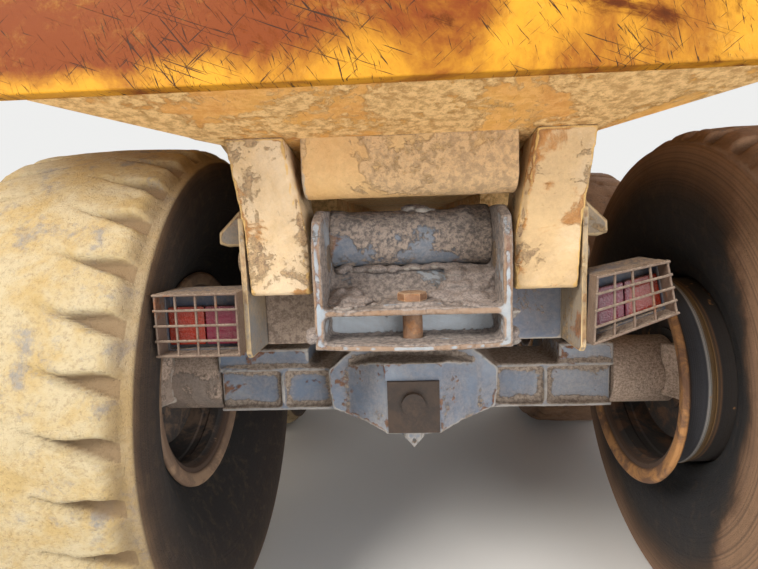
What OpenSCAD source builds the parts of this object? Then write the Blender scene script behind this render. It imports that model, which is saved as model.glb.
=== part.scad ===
// Rear dump unit of an articulated dump truck: rear frame with its hitch flange,
// two-axle bogie on walking beams, four wheels, tipping dump body and twin hoists.
// +X is the unit's right side, +Y points forward, +Z up. The ground is z = 0.
// All y values below count from the rear axle; place() moves them to the centre.

/* [Wheels] */
// Radius of a tyre over its lug tips
wheel_r = 810; // [800:1:815]
// Section width of a tyre
tyre_w = 600; // [590:1:606]
// Distance between the wheel centres of one axle
track = 2040; // [2036:1:2060]
// Radius over the rim flanges
rim_flange_r = 381; // [378:1:386]
// Radius of the rim's bead seat
rim_seat_r = 318; // [312:1:322]
// Rim width over its flanges
rim_w = 538; // [530:1:540]
// Thickness of the rim drum and of the wheel disc
rim_t = 14; // [10:1:18]
// Radius of the wheel hub's drum
hub_r = 205; // [190:1:220]
// Distance by which the right rear tyre's inner bead has left its seat
bead_shift = 140; // [60:5:160]
// Distance by which the right rear tyre's tread has moved outward
tread_out = 128; // [60:4:132]
// Distance by which the left rear tyre's tread has moved inward
tread_in = 112; // [0:4:112]
// Number of lugs on each shoulder
lugs = 36; // [30:1:36]
// Depth of the grooves between the lugs
lug_h = 42; // [30:1:46]
// Half width of a lug at the tread's centre
lug_root = 61; // [50:1:62]
// Half width of a lug at the shoulder
lug_tip = 45; // [38:1:50]
// Slant of a lug, run round the tyre over run across it
lug_slant = 0.35; // [0.2:0.01:0.36]

/* [Axles] */
// Distance between the two axles
wheelbase = 1670; // [1660:5:1700]
// Half length of an axle's fabricated beam
beam_half = 660; // [640:1:670]
// Depth of the beam along the unit
beam_d = 238; // [220:1:244]
// Height of the beam
beam_h = 150; // [140:1:156]
// Height of the axle centre above the beam's bottom
beam_drop = 93; // [88:1:98]
// Thickness of the beam's flanges
flange_t = 12; // [8:1:14]
// Depth of the web's recess behind the flange edges
web_recess = 22; // [10:1:30]
// Height of the raised spring seat boxes
seat_h = 58; // [50:1:60]
// Depth of the central differential housing
diff_d = 324; // [300:2:340]
// Radius of the fixed hub housing at each axle end
housing_r = 115; // [105:1:125]
// Radius of the wheel spindle
spindle_r = 85; // [75:1:90]
// Radius of the upright brake body behind each axle end
brake_r = 80; // [70:1:84]

/* [Bogie] */
// Distance from the centre plane to a walking beam's inner face
walk_x = 496; // [494:1:500]
// Width of a walking beam
walk_w = 90; // [80:1:94]
// Distance from the centre plane to a spring's middle
spring_x = 572; // [568:1:576]
// Height of a rubber spring stack
spring_h = 97; // [90:1:110]
// Radius of the walking beam trunnions
trunnion_r = 65; // [55:1:70]
// Height of the trunnions above the ground
trunnion_z = 1085; // [1080:1:1095]
// Radius of the cross tube between the rails
cross_tube_r = 90; // [75:1:95]

/* [Rear frame] */
// Distance from the centre plane to a rail's inner face
rail_x = 227; // [227:1:229]
// Width of a rail
rail_w = 110; // [90:1:114]
// Bottom of the rails
rail_z = 1030; // [1020:1:1034]
// Top of the rails
rail_top = 1330; // [1310:1:1336]
// Distance of the hitch flange's face ahead of the rear axle
hitch_y = 4520; // [4460:5:4600]
// Height of the hitch's centre
hitch_z = 1050; // [1030:5:1060]
// Radius of the hitch flange
hitch_r = 310; // [300:1:320]
// Radius of the hitch's bore
hitch_bore_r = 150; // [140:1:160]
// Radius of the hitch bolt circle
bolt_circle_r = 270; // [262:1:278]
// Number of hitch bolts
bolts = 16; // [8:2:20]
// Radius of a hitch bolt hole
bolt_r = 14; // [10:0.5:16]

/* [Tail frame] */
// Outer face of the tow pocket's side plates from the centre plane
pocket_x = 227; // [225:1:227]
// Thickness of the tow pocket's plates
pocket_t = 22; // [16:1:24]
// Rear edge of the tow pocket behind the rear axle
pocket_back = 647; // [630:1:655]
// Bottom of the tow pocket
pocket_z = 1058; // [1050:1:1064]
// Top of the tow pocket's shelf
shelf_z = 1152; // [1140:1:1160]
// Thickness of the shelf and of the bottom plate
shelf_t = 16; // [12:1:20]
// Radius of the tow pin
tow_pin_r = 24; // [20:1:26]
// Distance of the tow pin behind the rear axle
tow_pin_back = 585; // [570:1:595]
// Inner face of the outer tail plates from the centre plane
tail_x = 392; // [390:1:396]
// Thickness of the outer tail plates
tail_t = 12; // [10:1:16]
// Rear edge of the outer tail plates behind the rear axle
tail_back = 604; // [590:1:612]
// Radius of the dusty tube across the tow pocket
pocket_tube_r = 74; // [60:1:78]

/* [Tip hinge and hoists] */
// Distance of the tip hinge behind the rear axle
hinge_back = 520; // [515:1:525]
// Height of the tip hinge
hinge_z = 1262; // [1258:1:1266]
// Radius of a hinge pin
hinge_pin_r = 32; // [26:1:36]
// Running clearance round pins and spindles
run_gap = 0.3; // [0.2:0.1:0.6]
// Distance of the hoist's foot pin ahead of the rear axle
foot_y = 1030; // [1025:1:1040]
// Height of the hoist's foot pin
foot_z = 860; // [858:1:866]
// Distance of the hoist's head pin ahead of the rear axle
head_y = 3200; // [3180:5:3260]
// Height of the hoist's head pin
head_z = 1355; // [1350:1:1358]
// Distance of a hoist from the centre plane
hoist_x = 420; // [418:1:422]
// Outer radius of a hoist barrel
barrel_r = 68; // [60:1:70]
// Bore radius of a hoist barrel
barrel_bore_r = 56; // [50:1:57]
// Radius of a hoist rod
rod_r = 32; // [28:1:33]
// Radius of a hoist eye
eye_r = 60; // [52:1:62]
// Width of a hoist eye
eye_w = 60; // [50:1:64]
// Radius of the hoist pins
hoist_pin_r = 25; // [20:1:28]
// Thickness of a hoist lug
lug_t = 14; // [10:1:16]
// Greatest tip of the dump body
tip_deg = 70; // [60:1:70]

/* [Dump body] */
// Rear face of the dump body's lip behind the rear axle
lip_back = 910; // [900:1:930]
// Thickness of the lip along the unit
lip_t = 40; // [30:1:50]
// Height of the lip band
lip_h = 190; // [180:1:196]
// Front face of the dump body ahead of the rear axle
body_front = 4150; // [4050:10:4200]
// Height of the flat floor's underside
floor_z = 1430; // [1426:1:1440]
// Slope of the tail floor, rise over run
tail_slope = 0.2152; // [0.2:0.005:0.23]
// Thickness of the body's plates
plate_t = 16; // [12:1:20]
// Half width of the flat floor
floor_half = 475; // [472:1:490]
// Half width of the body at its top
top_half = 1400; // [1385:5:1420]
// Height of the body's side walls
top_z = 2700; // [2600:10:2760]
// Depth of the side ribs
rib_d = 50; // [40:1:60]
// Width of a side rib
rib_w = 90; // [70:1:110]

/* [Lamps] */
// Width of a tail lamp
lamp_w = 200; // [190:1:205]
// Height of a tail lamp
lamp_h = 150; // [130:1:155]
// Depth of a tail lamp's housing
lamp_d = 90; // [70:1:110]
// Radius of the guard's wires
wire_r = 3; // [2:0.5:4]
// Tilt of the bent right lamp
lamp_tilt = 21; // [0:1:22]
// Distance of a guard's wires behind its lamp
lamp_cage = 46; // [30:1:60]
// Thickness of the guard's sheet
guard_t = 5; // [3:1:8]

/* [Hidden] */
$fn = 64;

origin_y = (hitch_y - lip_back) / 2;
axle_z = wheel_r;
beam_z = axle_z - beam_drop;
beam_top = beam_z + beam_h;
seat_top = beam_top + seat_h + flange_t / 2;
seat_x = 440;
rear_seats = [352, 488];
middle_seats = [496, 496];
hinge_y = -hinge_back;
rim_half = rim_w / 2;
walk_z = seat_top + spring_h;
walk_mid = wheelbase / 2;
hoist_len = norm([head_y - foot_y, head_z - foot_z]);
hoist_rise = atan2(head_z - foot_z, head_y - foot_y);
head_arm = norm([head_y - hinge_y, head_z - hinge_z]);
head_rise = atan2(head_z - hinge_z, head_y - hinge_y);
raised = [hinge_y + head_arm * cos(head_rise + tip_deg),
    hinge_z + head_arm * sin(head_rise + tip_deg)];
stroke = norm([raised[0] - foot_y, raised[1] - foot_z]) - hoist_len;
lug_in = hoist_x - eye_w / 2 - 4 - lug_t;
lug_out = hoist_x + eye_w / 2 + 4;
ear_in = pocket_x + 16;
ear_out = tail_x - 10;
ear_t = 12;

// Height of the floor's underside at a place y along the unit
bend_y = -120;
tail_y = -lip_back + lip_t;
floor_up = norm([1, tail_slope]) * plate_t;
function floor_at(y) = floor_z + max(0, bend_y - y) * tail_slope;

// Columns: place y, half width of the floor, height of the top edge
body_table = [[tail_y, 690, top_z - 420], [-600, 410, top_z - 130],
    [bend_y, floor_half, top_z], [body_front - plate_t, floor_half, top_z]];
wing_half = top_half - 50;
wing_z = 1950;
knee_half = 700;
knee_z = 1760;
chine_run = knee_half - floor_half;
chine_rise = knee_z - floor_z;
wing_slope = (wing_z - knee_z) / (wing_half - knee_half);
side_lean = (top_half - wing_half) / (top_z - wing_z);

// Share of the full chine at which it meets the wing's plane
function knee_at(half, z) = (knee_z - z + (half - knee_half) * wing_slope)
    / (chine_rise - chine_run * wing_slope);
// Place, then half width and height of the chine, the knee, the wing's edge and the
// top edge of the outer skin: each panel keeps one plane from station to station
function station(row) = let (z = floor_at(row[0]), t = knee_at(row[1], z))
    [row[0], row[1], z, row[1] + t * chine_run, z + t * chine_rise, wing_half, wing_z,
    wing_half + (row[2] - wing_z) * side_lean, row[2]];
stations = [for (row = body_table) station(row)];

// Outer skin of one station from the left top edge to the right top edge
function skin(s) = [[-s[7], s[8]], [-s[5], s[6]], [-s[3], s[4]], [-s[1], s[2]],
    [s[1], s[2]], [s[3], s[4]], [s[5], s[6]], [s[7], s[8]]];
function side_normal(a, b) = let (d = (b - a) / norm(b - a)) [-d[1], d[0]];
// Point i of the line p moved inward by t, mitred at the corners
function inward(p, i, t) = let (n = len(p) - 1,
    a = side_normal(p[max(i - 1, 0)], p[max(i, 1)]),
    b = side_normal(p[min(i, n - 1)], p[min(i + 1, n)]))
    p[i] + (a + b) * t / (1 + a * b);
// Closed band of thickness t along points i to j of the line p
function band(p, i, j, t) = concat([for (k = [i:j]) p[k]],
    [for (k = [j:-1:i]) inward(p, k, t)]);
// Everything is drawn from the rear axle and moved to the unit's centre
module place() translate([0, -origin_y, 0]) children();

module both() {
    children();
    mirror([1, 0, 0]) children();
}

// Solid through equal rings of [x, z] points, at places ys from rear to front.
// Warped faces fold alike on the outer and inner skin and on the left and right.
module loft(ys, rings) {
    n = len(rings[0]);
    last = len(rings) - 1;
    polyhedron(
        points = [for (k = [0:last]) for (p = rings[k]) [p[0], ys[k], p[1]]],
        faces = concat([[for (i = [n - 1:-1:0]) i]],
            [for (k = [0:last - 1]) for (i = [0:n - 1]) for (f = [0, 1])
                let (j = (i + 1) % n, a = k * n + i, b = k * n + j,
                    left = rings[k][i][0] + rings[k][j][0] < 0)
                (i < n / 2) == left
                    ? (f == 0 ? [a, b, a + n] : [b, b + n, a + n])
                    : (f == 0 ? [a, b, b + n] : [a, b + n, a + n])],
            [[for (i = [0:n - 1]) last * n + i]]));
}

// Outline in the [y, z] plane as a plate from x0 to x1
module side_plate(x0, x1) translate([x0, 0, 0]) rotate([90, 0, 90])
    linear_extrude(x1 - x0) children();

// Round bar along x from x0 to x1 about [y, z]
module bar_x(x0, x1, y, z, r) translate([x0, y, z]) rotate([0, 90, 0])
    cylinder(r = r, h = x1 - x0);

// Round bar along y from y0 to y1 about [x, z]
module bar_y(y0, y1, x, z, r) translate([x, y0, z]) rotate([-90, 0, 0])
    cylinder(r = r, h = y1 - y0);

module block(x0, x1, y0, y1, z0, z1) translate([x0, y0, z0])
    cube([x1 - x0, y1 - y0, z1 - z0]);

// ---- rear frame ----

module rail() intersection() {
    translate([0, 0, 800]) linear_extrude(700) polygon([
        [rail_x, -440], [rail_x + rail_w, -440], [rail_x + rail_w, 2500],
        [rail_x + 25, 3800], [rail_x - 85, 3800], [rail_x, 2500]]);
    side_plate(0, 600) polygon([
        [-440, rail_z], [-440, 1185], [-400, rail_top], [2700, rail_top],
        [3800, 1220], [3800, 900], [2500, rail_z]]);
}

module frame_rails() color("slategray") place() both() rail();

module hitch_head() color("slategray") place() difference() {
    union() {
        bar_y(4240, hitch_y - 70, 0, hitch_z, 220);
        bar_y(hitch_y - 70, hitch_y, 0, hitch_z, hitch_r);
        translate([0, 0, 890]) linear_extrude(330) polygon([[-250, 3800],
            [250, 3800], [190, 4260], [-190, 4260]]);
    }
    bar_y(3790, hitch_y + 10, 0, hitch_z, hitch_bore_r);
    for (k = [0:bolts - 1])
        bar_y(hitch_y - 80, hitch_y + 10, bolt_circle_r * cos(k * 360 / bolts),
            hitch_z + bolt_circle_r * sin(k * 360 / bolts), bolt_r);
}

module front_cross_member() color("slategray") place()
    block(-rail_x, rail_x, 2380, 2480, 1090, 1300);

module bogie_cross_tube() color("slategray") place() {
    bar_x(-rail_x, rail_x, walk_mid, trunnion_z, cross_tube_r);
    both() bar_x(rail_x + rail_w, walk_x + walk_w + 14, walk_mid, trunnion_z, trunnion_r);
}

module tail_side_plates() color("slategray") place() both() {
    difference() {
        side_plate(tail_x, tail_x + tail_t) polygon([
            [-tail_back, 1045], [-tail_back, 1370], [-570, 1400], [-430, 1400],
            [-300, rail_top], [-300, rail_z], [-590, rail_z]]);
        bar_x(tail_x - 1, tail_x + tail_t + 1, hinge_y, hinge_z, hinge_pin_r + run_gap);
    }
    translate([0, -440, 0]) rotate([90, 0, 0]) linear_extrude(10) polygon([
        [tail_x + tail_t, 1300], [tail_x + tail_t, 1398], [450, 1390], [505, 1335],
        [508, 1305], [480, 1296]]);
}

module tail_cross_plates() color("slategray") place() both() {
    block(pocket_x, tail_x, -452, -440, rail_z, 1188);
    block(rail_x + rail_w, tail_x, -440, -300, rail_z, rail_z + 12);
    block(rail_x + rail_w, tail_x, -312, -300, rail_z + 12, rail_top);
}

module tow_pocket() color("slategray") place() difference() {
    union() {
        both() side_plate(pocket_x - pocket_t, pocket_x) difference() {
            polygon([[-pocket_back, pocket_z], [-pocket_back, 1300], [-624, 1356],
                [-567, 1381], [-300, 1381], [-300, pocket_z]]);
            translate([hinge_y, hinge_z]) circle(hinge_pin_r + run_gap);
        }
        block(-pocket_x + pocket_t, pocket_x - pocket_t, -pocket_back, -300,
            shelf_z - shelf_t, shelf_z);
        block(-pocket_x + pocket_t, pocket_x - pocket_t, -pocket_back, -480,
            pocket_z, pocket_z + shelf_t);
        intersection() {
            translate([0, 795 - pocket_back, pocket_z]) cylinder(r = 821, h = shelf_t);
            block(-pocket_x + pocket_t, pocket_x - pocket_t, -pocket_back - 40,
                -pocket_back + 1, pocket_z, pocket_z + shelf_t);
        }
        block(-pocket_x + pocket_t, pocket_x - pocket_t, -552, -540,
            pocket_z + shelf_t, shelf_z - shelf_t);
        side_plate(-pocket_x + pocket_t, pocket_x - pocket_t) polygon([
            [-540, shelf_z], [-466, 1231], [-454, 1231], [-528, shelf_z]]);
        block(-70, 70, -pocket_back + 22, -500, shelf_z, shelf_z + 10);
    }
    translate([0, -tow_pin_back, pocket_z - 10])
        cylinder(r = tow_pin_r + run_gap, h = shelf_z - pocket_z + 30);
}

module pocket_tube() color("slategray") place() difference() {
    bar_x(-pocket_x + pocket_t, pocket_x - pocket_t, -430, 1304, pocket_tube_r);
    bar_x(-pocket_x, pocket_x, -430, 1304, pocket_tube_r - 14);
}

module tow_pin() color("saddlebrown") place() translate([0, -tow_pin_back, 0]) {
    translate([0, 0, pocket_z - 14]) cylinder(r = tow_pin_r, h = shelf_z + 24 - pocket_z);
    translate([0, 0, shelf_z + 10]) cylinder(r = tow_pin_r + 12, h = 20, $fn = 6);
}

module hinge_pins() color("dimgray") place() both() {
    bar_x(pocket_x - pocket_t, tail_x + tail_t + 22, hinge_y, hinge_z, hinge_pin_r);
    bar_x(tail_x + tail_t, tail_x + tail_t + 12, hinge_y, hinge_z, hinge_pin_r + 10);
}

// ---- bogie ----

module walking_beams() color("slategray") place() both() difference() {
    union() {
        side_plate(walk_x, walk_x + walk_w) polygon([
            [-140, walk_z], [-140, walk_z + 90], [480, walk_z + 165],
            [walk_mid, walk_z + 175], [wheelbase - 480, walk_z + 165],
            [wheelbase + 140, walk_z + 90], [wheelbase + 140, walk_z],
            [wheelbase - 300, walk_z], [walk_mid + 160, 960], [walk_mid - 160, 960],
            [300, walk_z]]);
        for (y = [0, wheelbase])
            block(walk_x, spring_x + 66, y - 120, y + 120, walk_z, walk_z + 18);
    }
    bar_x(walk_x - 1, walk_x + walk_w + 1, walk_mid, trunnion_z, trunnion_r + run_gap);
}

module spring_stack() {
    layer = spring_h / 7;
    mid = spring_x;
    block(mid - 52, mid + 52, -82, 82, seat_top, walk_z);
    for (k = [0:2:6])
        block(mid - 60, mid + 60, -90, 90, seat_top + k * layer, seat_top + (k + 1) * layer);
}

module spring_pads() color("dimgray") place() both() {
    spring_stack();
    translate([0, wheelbase, 0]) spring_stack();
}

// seats: where the raised boxes start on the left and on the right
module axle(seats) {
    web_d = beam_d - 2 * web_recess;
    block(-beam_half, beam_half, -beam_d / 2, beam_d / 2, beam_z, beam_z + flange_t);
    block(-beam_half, beam_half, -beam_d / 2, beam_d / 2, beam_top - flange_t, beam_top);
    block(-beam_half, beam_half, -web_d / 2, web_d / 2, beam_z, beam_top);
    both() {
        block(seat_x - 4, seat_x + 8, -beam_d / 2, beam_d / 2, beam_z, beam_top);
        block(430, 500, -60, 60, beam_z - 24, beam_z);
    }
    for (k = [0, 1]) mirror([1 - k, 0, 0]) block(seats[k], beam_half + 6,
        -beam_d / 2 + 10, beam_d / 2 - 10, beam_top - flange_t, seat_top);
    translate([0, diff_d / 2, 0]) rotate([90, 0, 0]) linear_extrude(diff_d) polygon([
        [-280, beam_top], [-270, beam_z + 21], [-61, beam_z - 70], [61, beam_z - 70],
        [270, beam_z + 21], [280, beam_top], [190, beam_top + 76], [-190, beam_top + 76]]);
    intersection() {
        translate([0, -100, 0]) rotate([90, 0, 0]) linear_extrude(162) polygon([
            [-280, beam_top], [-270, beam_z + 21], [-86, beam_z - 27], [86, beam_z - 27],
            [270, beam_z + 21], [280, beam_top], [110, beam_top + 50], [-110, beam_top + 50]]);
        translate([0, 0, beam_z - 30]) linear_extrude(260) polygon([
            [-280, -90], [-280, -110], [-86, -262], [86, -262], [280, -110], [280, -90]]);
    }
    translate([0, -diff_d / 2, 0]) rotate([90, 0, 0]) linear_extrude(16) difference() {
        polygon([[-34, beam_z - 60], [-34, beam_z - 74], [0, beam_z - 113],
            [34, beam_z - 74], [34, beam_z - 60]]);
        translate([0, beam_z - 88]) circle(9);
    }
    bar_y(diff_d / 2, diff_d / 2 + 70, 0, 870, 95);
}

module axle_rear() color("slategray") place() axle(rear_seats);

module axle_middle() color("slategray") place() translate([0, wheelbase, 0]) {
    axle(middle_seats);
    bar_y(-330, -262, 0, 870, 70);
}

module axle_covers() color("saddlebrown") place() {
    block(-80, 80, -274, -262, beam_z - 20, beam_top - 6);
    bar_y(-290, -274, 0, beam_z + 74, 36);
}

module hub_housings() color("gray") place() both() for (y = [0, wheelbase]) {
    bar_x(beam_half + 6, track / 2 - 145, y, axle_z, housing_r);
    bar_x(track / 2 - 145, track / 2 - 20, y, axle_z, spindle_r);
}

module brake_calipers() color("sienna") place() both() for (y = [0, wheelbase])
    translate([track / 2, y, axle_z]) {
        difference() {
            block(-200, -70, -270, -90, -60, 110);
            translate([-248, -175, -34]) sphere(r = brake_r);
            translate([-248, -175, -34]) cylinder(r = brake_r, h = 172);
            bar_x(-145, -90, 0, 0, 250);
            bar_x(-330, -69, 0, 0, housing_r);
            bar_x(-92, -60, 0, 0, hub_r + 12);
        }
    }

// Shaft with a fork and cross at each end, along y from y0 to y1
module prop_shaft(y0, z0, y1, z1) {
    len = norm([y1 - y0, z1 - z0]);
    translate([0, y0, z0]) rotate([atan2(z1 - z0, y1 - y0), 0, 0]) {
        bar_y(0, 18, 0, 0, 68);
        bar_y(18, 110, 0, 0, 50);
        bar_y(110, len - 110, 0, 0, 40);
        bar_y(len - 110, len - 18, 0, 0, 50);
        bar_y(len - 18, len, 0, 0, 68);
        bar_x(-66, 66, 64, 0, 16);
        bar_x(-66, 66, len - 64, 0, 16);
    }
}

module prop_shafts() color("dimgray") place() {
    prop_shaft(diff_d / 2 + 70, 870, wheelbase - 330, 870);
    prop_shaft(wheelbase + diff_d / 2 + 75, 874, hitch_y - 30, hitch_z);
}

// Rod with an eye at each end, between the places [y, z] a and b
module torque_rod(a, b) {
    len = norm(b - a);
    bar_x(hoist_x - 35, hoist_x + 35, a[0], a[1], 38);
    bar_x(hoist_x - 35, hoist_x + 35, b[0], b[1], 38);
    translate([hoist_x, a[0], a[1]]) rotate([atan2(b[1] - a[1], b[0] - a[0]), 0, 0])
        bar_y(0, len, 0, 0, 22);
}

module torque_rods() color("slategray") place() both() {
    torque_rod([beam_d / 2 + 38, beam_z + 25], [812, 745]);
    torque_rod([904, 745], [wheelbase - beam_d / 2 - 38, beam_z + 25]);
}

// ---- hoists ----

module hoist_brackets() color("slategray") place() both() difference() {
    union() {
        block(rail_x, rail_x + rail_w, 850, 1000, rail_z - 16, rail_z);
        block(rail_x + 75, lug_out + lug_t, 850, 866, 700, rail_z - 16);
        for (x = [lug_in, lug_out]) side_plate(x, x + lug_t) {
            polygon([[866, 790], [866, 1000], [905, 1000], [foot_y - 44, foot_z + 40],
                [foot_y, foot_z - eye_r]]);
            translate([foot_y, foot_z]) circle(eye_r);
        }
    }
    bar_x(lug_in - 1, lug_out + lug_t + 1, foot_y, foot_z, hoist_pin_r + run_gap);
}

module hoist_frame() translate([hoist_x, foot_y, foot_z]) rotate([hoist_rise, 0, 0])
    children();

module hoist_barrel() hoist_frame() {
    difference() {
        union() {
            bar_x(-eye_w / 2, eye_w / 2, 0, 0, eye_r);
            translate([-eye_w / 2, 0, -eye_r * 0.7]) cube([eye_w, 92, eye_r * 1.4]);
            bar_y(88, hoist_len - 150, 0, 0, barrel_r);
        }
        bar_y(105, hoist_len - 230, 0, 0, barrel_bore_r);
        bar_y(hoist_len - 240, hoist_len - 140, 0, 0, rod_r + run_gap);
        bar_x(-eye_w, eye_w, 0, 0, hoist_pin_r + run_gap);
    }
    bar_x(-eye_w / 2 - 17, eye_w / 2 + 17, 0, 0, hoist_pin_r);
}

module hoist_rod() hoist_frame() difference() {
    union() {
        bar_y(110, 170, 0, 0, barrel_bore_r - run_gap);
        bar_y(170, hoist_len - eye_r * 0.8, 0, 0, rod_r);
        bar_x(-eye_w / 2, eye_w / 2, hoist_len, 0, eye_r);
    }
    bar_x(-eye_w, eye_w, hoist_len, 0, hoist_pin_r + run_gap);
}

module hoist_barrel_left() color("slategray") place() mirror([1, 0, 0]) hoist_barrel();

module hoist_barrel_right() color("slategray") place() hoist_barrel();

module hoist_rod_left() color("silver") place() mirror([1, 0, 0]) hoist_rod();

module hoist_rod_right() color("silver") place() hoist_rod();

module hoist_lugs() color("goldenrod") place() both()
    for (x = [lug_in, lug_out]) {
        side_plate(x, x + lug_t) union() {
            polygon([[head_y - 110, floor_z], [head_y + 110, floor_z],
                [head_y + 52, head_z - 30], [head_y - 52, head_z - 30]]);
            translate([head_y, head_z]) circle(eye_r);
        }
        out = x > hoist_x ? lug_t : -12;
        bar_x(x + out, x + out + 12, head_y, head_z, hoist_pin_r + 12);
    }

// ---- lamps ----

// Corners [x outward, z] of the sound left lamp and of the bent right one
left_lamp = [[0, 0], [lamp_w, 0], [lamp_w, lamp_h], [0, lamp_h]];
right_lamp = [[0, 8], [lamp_w - 14, lamp_w * tan(lamp_tilt)],
    [lamp_w - 40, lamp_w * tan(lamp_tilt) + lamp_h * 0.79], [6, lamp_h + 15]];

// Point of a lamp's outline c at the shares u outward and v upward
function lamp_at(c, u, v) = (1 - v) * ((1 - u) * c[0] + u * c[1])
    + v * ((1 - u) * c[3] + u * c[2]);

// Outline of a lamp's part between the shares u0 and u1, v0 and v1
module lamp_cell(c, u0, u1, v0, v1) polygon([lamp_at(c, u0, v0), lamp_at(c, u1, v0),
    lamp_at(c, u1, v1), lamp_at(c, u0, v1)]);

module lamp_frame(side) mirror([side > 0 ? 0 : 1, 0, 0])
    translate([tail_x + tail_t, -tail_back + 6, 1050]) rotate([90, 0, 0]) children();

// Wire between two corners of the cage, at the height z above the lamp's face
module lamp_wire(a, b, z) translate([a[0], a[1], z])
    rotate([0, 0, atan2(b[1] - a[1], b[0] - a[0])]) rotate([0, 90, 0])
        translate([0, 0, -wire_r * 1.5]) cylinder(r = wire_r, h = norm(b - a) + wire_r * 3);

module lamp_housings() color("dimgray") place() for (s = [-1, 1]) {
    c = s > 0 ? right_lamp : left_lamp;
    lamp_frame(s) difference() {
        translate([0, 0, -lamp_d]) linear_extrude(lamp_d) polygon(c);
        translate([0, 0, -24]) linear_extrude(30) lamp_cell(c, 0.04, 0.96, 0.05, 0.95);
    }
}

module lamp_lenses() color("firebrick") place() for (s = [-1, 1]) {
    c = s > 0 ? right_lamp : left_lamp;
    lamp_frame(s) translate([0, 0, -24]) linear_extrude(20) {
        lamp_cell(c, 0.05, 0.49, 0.12, 0.74);
        lamp_cell(c, 0.51, 0.95, 0.12, 0.74);
    }
}

module lamp_guards() color("sienna") place() for (s = [-1, 1]) {
    c = s > 0 ? right_lamp : left_lamp;
    edge_u = guard_t / lamp_w;
    edge_v = guard_t / lamp_h;
    lamp_frame(s) {
        linear_extrude(lamp_cage) difference() {
            polygon(c);
            lamp_cell(c, edge_u, 1 - edge_u, edge_v, 1 - edge_v);
        }
        for (k = [0:4]) {
            u = edge_u * 0.7 + k * (0.25 - edge_u * 0.35);
            lamp_wire(lamp_at(c, u, 0.02), lamp_at(c, u, 0.98), lamp_cage);
            lamp_wire(lamp_at(c, 0.02, u), lamp_at(c, 0.98, u), lamp_cage + wire_r * 1.3);
        }
    }
}

module rest_pads() color("dimgray") place() both() for (y = [300, 1400, 2300])
    block(rail_x + 15, rail_x + rail_w - 15, y, y + 160, rail_top, rail_top + 9);

// ---- dump body ----

// Flat plate of thickness t on four corners of one plane, to the left of a to b
module flat_panel(a, b, c, d, t) {
    ex = (b - a) / norm(b - a);
    n = cross(ex, d - a) / norm(cross(ex, d - a));
    ey = cross(n, ex);
    multmatrix([for (k = [0:2]) [ex[k], ey[k], n[k], a[k]]]) linear_extrude(t)
        polygon([for (p = [a, b, c, d]) [(p - a) * ex, (p - a) * ey]]);
}

// Chine of the right side between the stations k and k + 1, both ends run on by more
module chine(k, more) {
    p = stations[k];
    q = stations[k + 1];
    run = ([q[1], q[0], q[2]] - [p[1], p[0], p[2]]) / (q[0] - p[0]) * more;
    climb = ([q[3], q[0], q[4]] - [p[3], p[0], p[4]]) / (q[0] - p[0]) * more;
    flat_panel([q[1], q[0], q[2]] + run, [p[1], p[0], p[2]] - run,
        [p[3], p[0], p[4]] - climb, [q[3], q[0], q[4]] + climb, plate_t);
}

// Side view of a plate of thickness t whose underside follows the line p
module bent_plate(x, p, t) side_plate(-x, x)
    polygon(concat(p, [for (k = [len(p) - 1:-1:0]) p[k] + [0, t]]));

module body_floor() color("goldenrod") place() {
    intersection() {
        bent_plate(800, [for (s = stations) [s[0], s[2]]], floor_up);
        translate([0, 0, floor_z - 10]) linear_extrude(300) polygon(concat(
            [for (s = stations) [s[1], s[0]]],
            [for (k = [3:-1:0]) [-stations[k][1], stations[k][0]]]));
    }
    both() intersection() {
        union() {
            chine(0, 9);
            chine(1, 9);
            chine(2, 0);
        }
        translate([0, 0, floor_z - 10]) linear_extrude(top_z) polygon(concat(
            [for (s = stations) [s[3], s[0]]], [[0, stations[3][0]], [0, tail_y]]));
    }
}

// Inner plate of the tail chute, from the flat floor up to the top of the lip
module wear_plate() color("goldenrod") place() intersection() {
    bent_plate(900, [[tail_y, stations[0][2] + lip_h - 22],
        [bend_y + 30, floor_z + floor_up], [bend_y + 60, floor_z + floor_up]],
        plate_t);
    translate([0, 0, floor_z]) linear_extrude(600) polygon(concat(
        [[-778, tail_y], [778, tail_y]], [[463, -600], [459, bend_y + 60]],
        [[-459, bend_y + 60], [-463, -600]]));
}

// Wing and side wall, cut along the knees in plan and along the top edge in side view
module body_side() intersection() {
    translate([0, body_front, 0]) rotate([90, 0, 0]) linear_extrude(body_front - tail_y)
        polygon(band([[knee_half - 300, knee_z - 300 * wing_slope], [wing_half, wing_z],
            [top_half, top_z]], 0, 2, plate_t));
    translate([0, 0, floor_z]) linear_extrude(top_z - floor_z + 10) polygon(concat(
        [for (s = stations) [s[3], s[0]]],
        [[top_half + 100, stations[3][0]], [top_half + 100, tail_y]]));
    side_plate(0, top_half + 100) polygon(concat([for (s = stations) [s[0], s[8]]],
        [[stations[3][0], floor_z], [tail_y, floor_z]]));
}

module body_side_left() color("goldenrod") place() mirror([1, 0, 0]) body_side();

module body_side_right() color("goldenrod") place() body_side();

module body_front_wall() color("goldenrod") place() {
    p = skin(stations[3]);
    translate([0, body_front, 0]) rotate([90, 0, 0]) linear_extrude(plate_t)
        polygon(concat(p, [[top_half - 60, top_z + 150], [-top_half + 60, top_z + 150]]));
    for (x = [-700, 0, 700])
        block(x - 40, x + 40, body_front, body_front + 45, 1960, top_z + 60);
}

module body_lip() color("orange") place() {
    s = stations[0];
    translate([0, tail_y, 0]) rotate([90, 0, 0]) linear_extrude(lip_t)
        polygon(band(skin([s[0], s[1] + 50, s[2], s[3], s[4], s[5], s[6], s[7], s[8]]),
            0, 7, lip_h));
}

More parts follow.
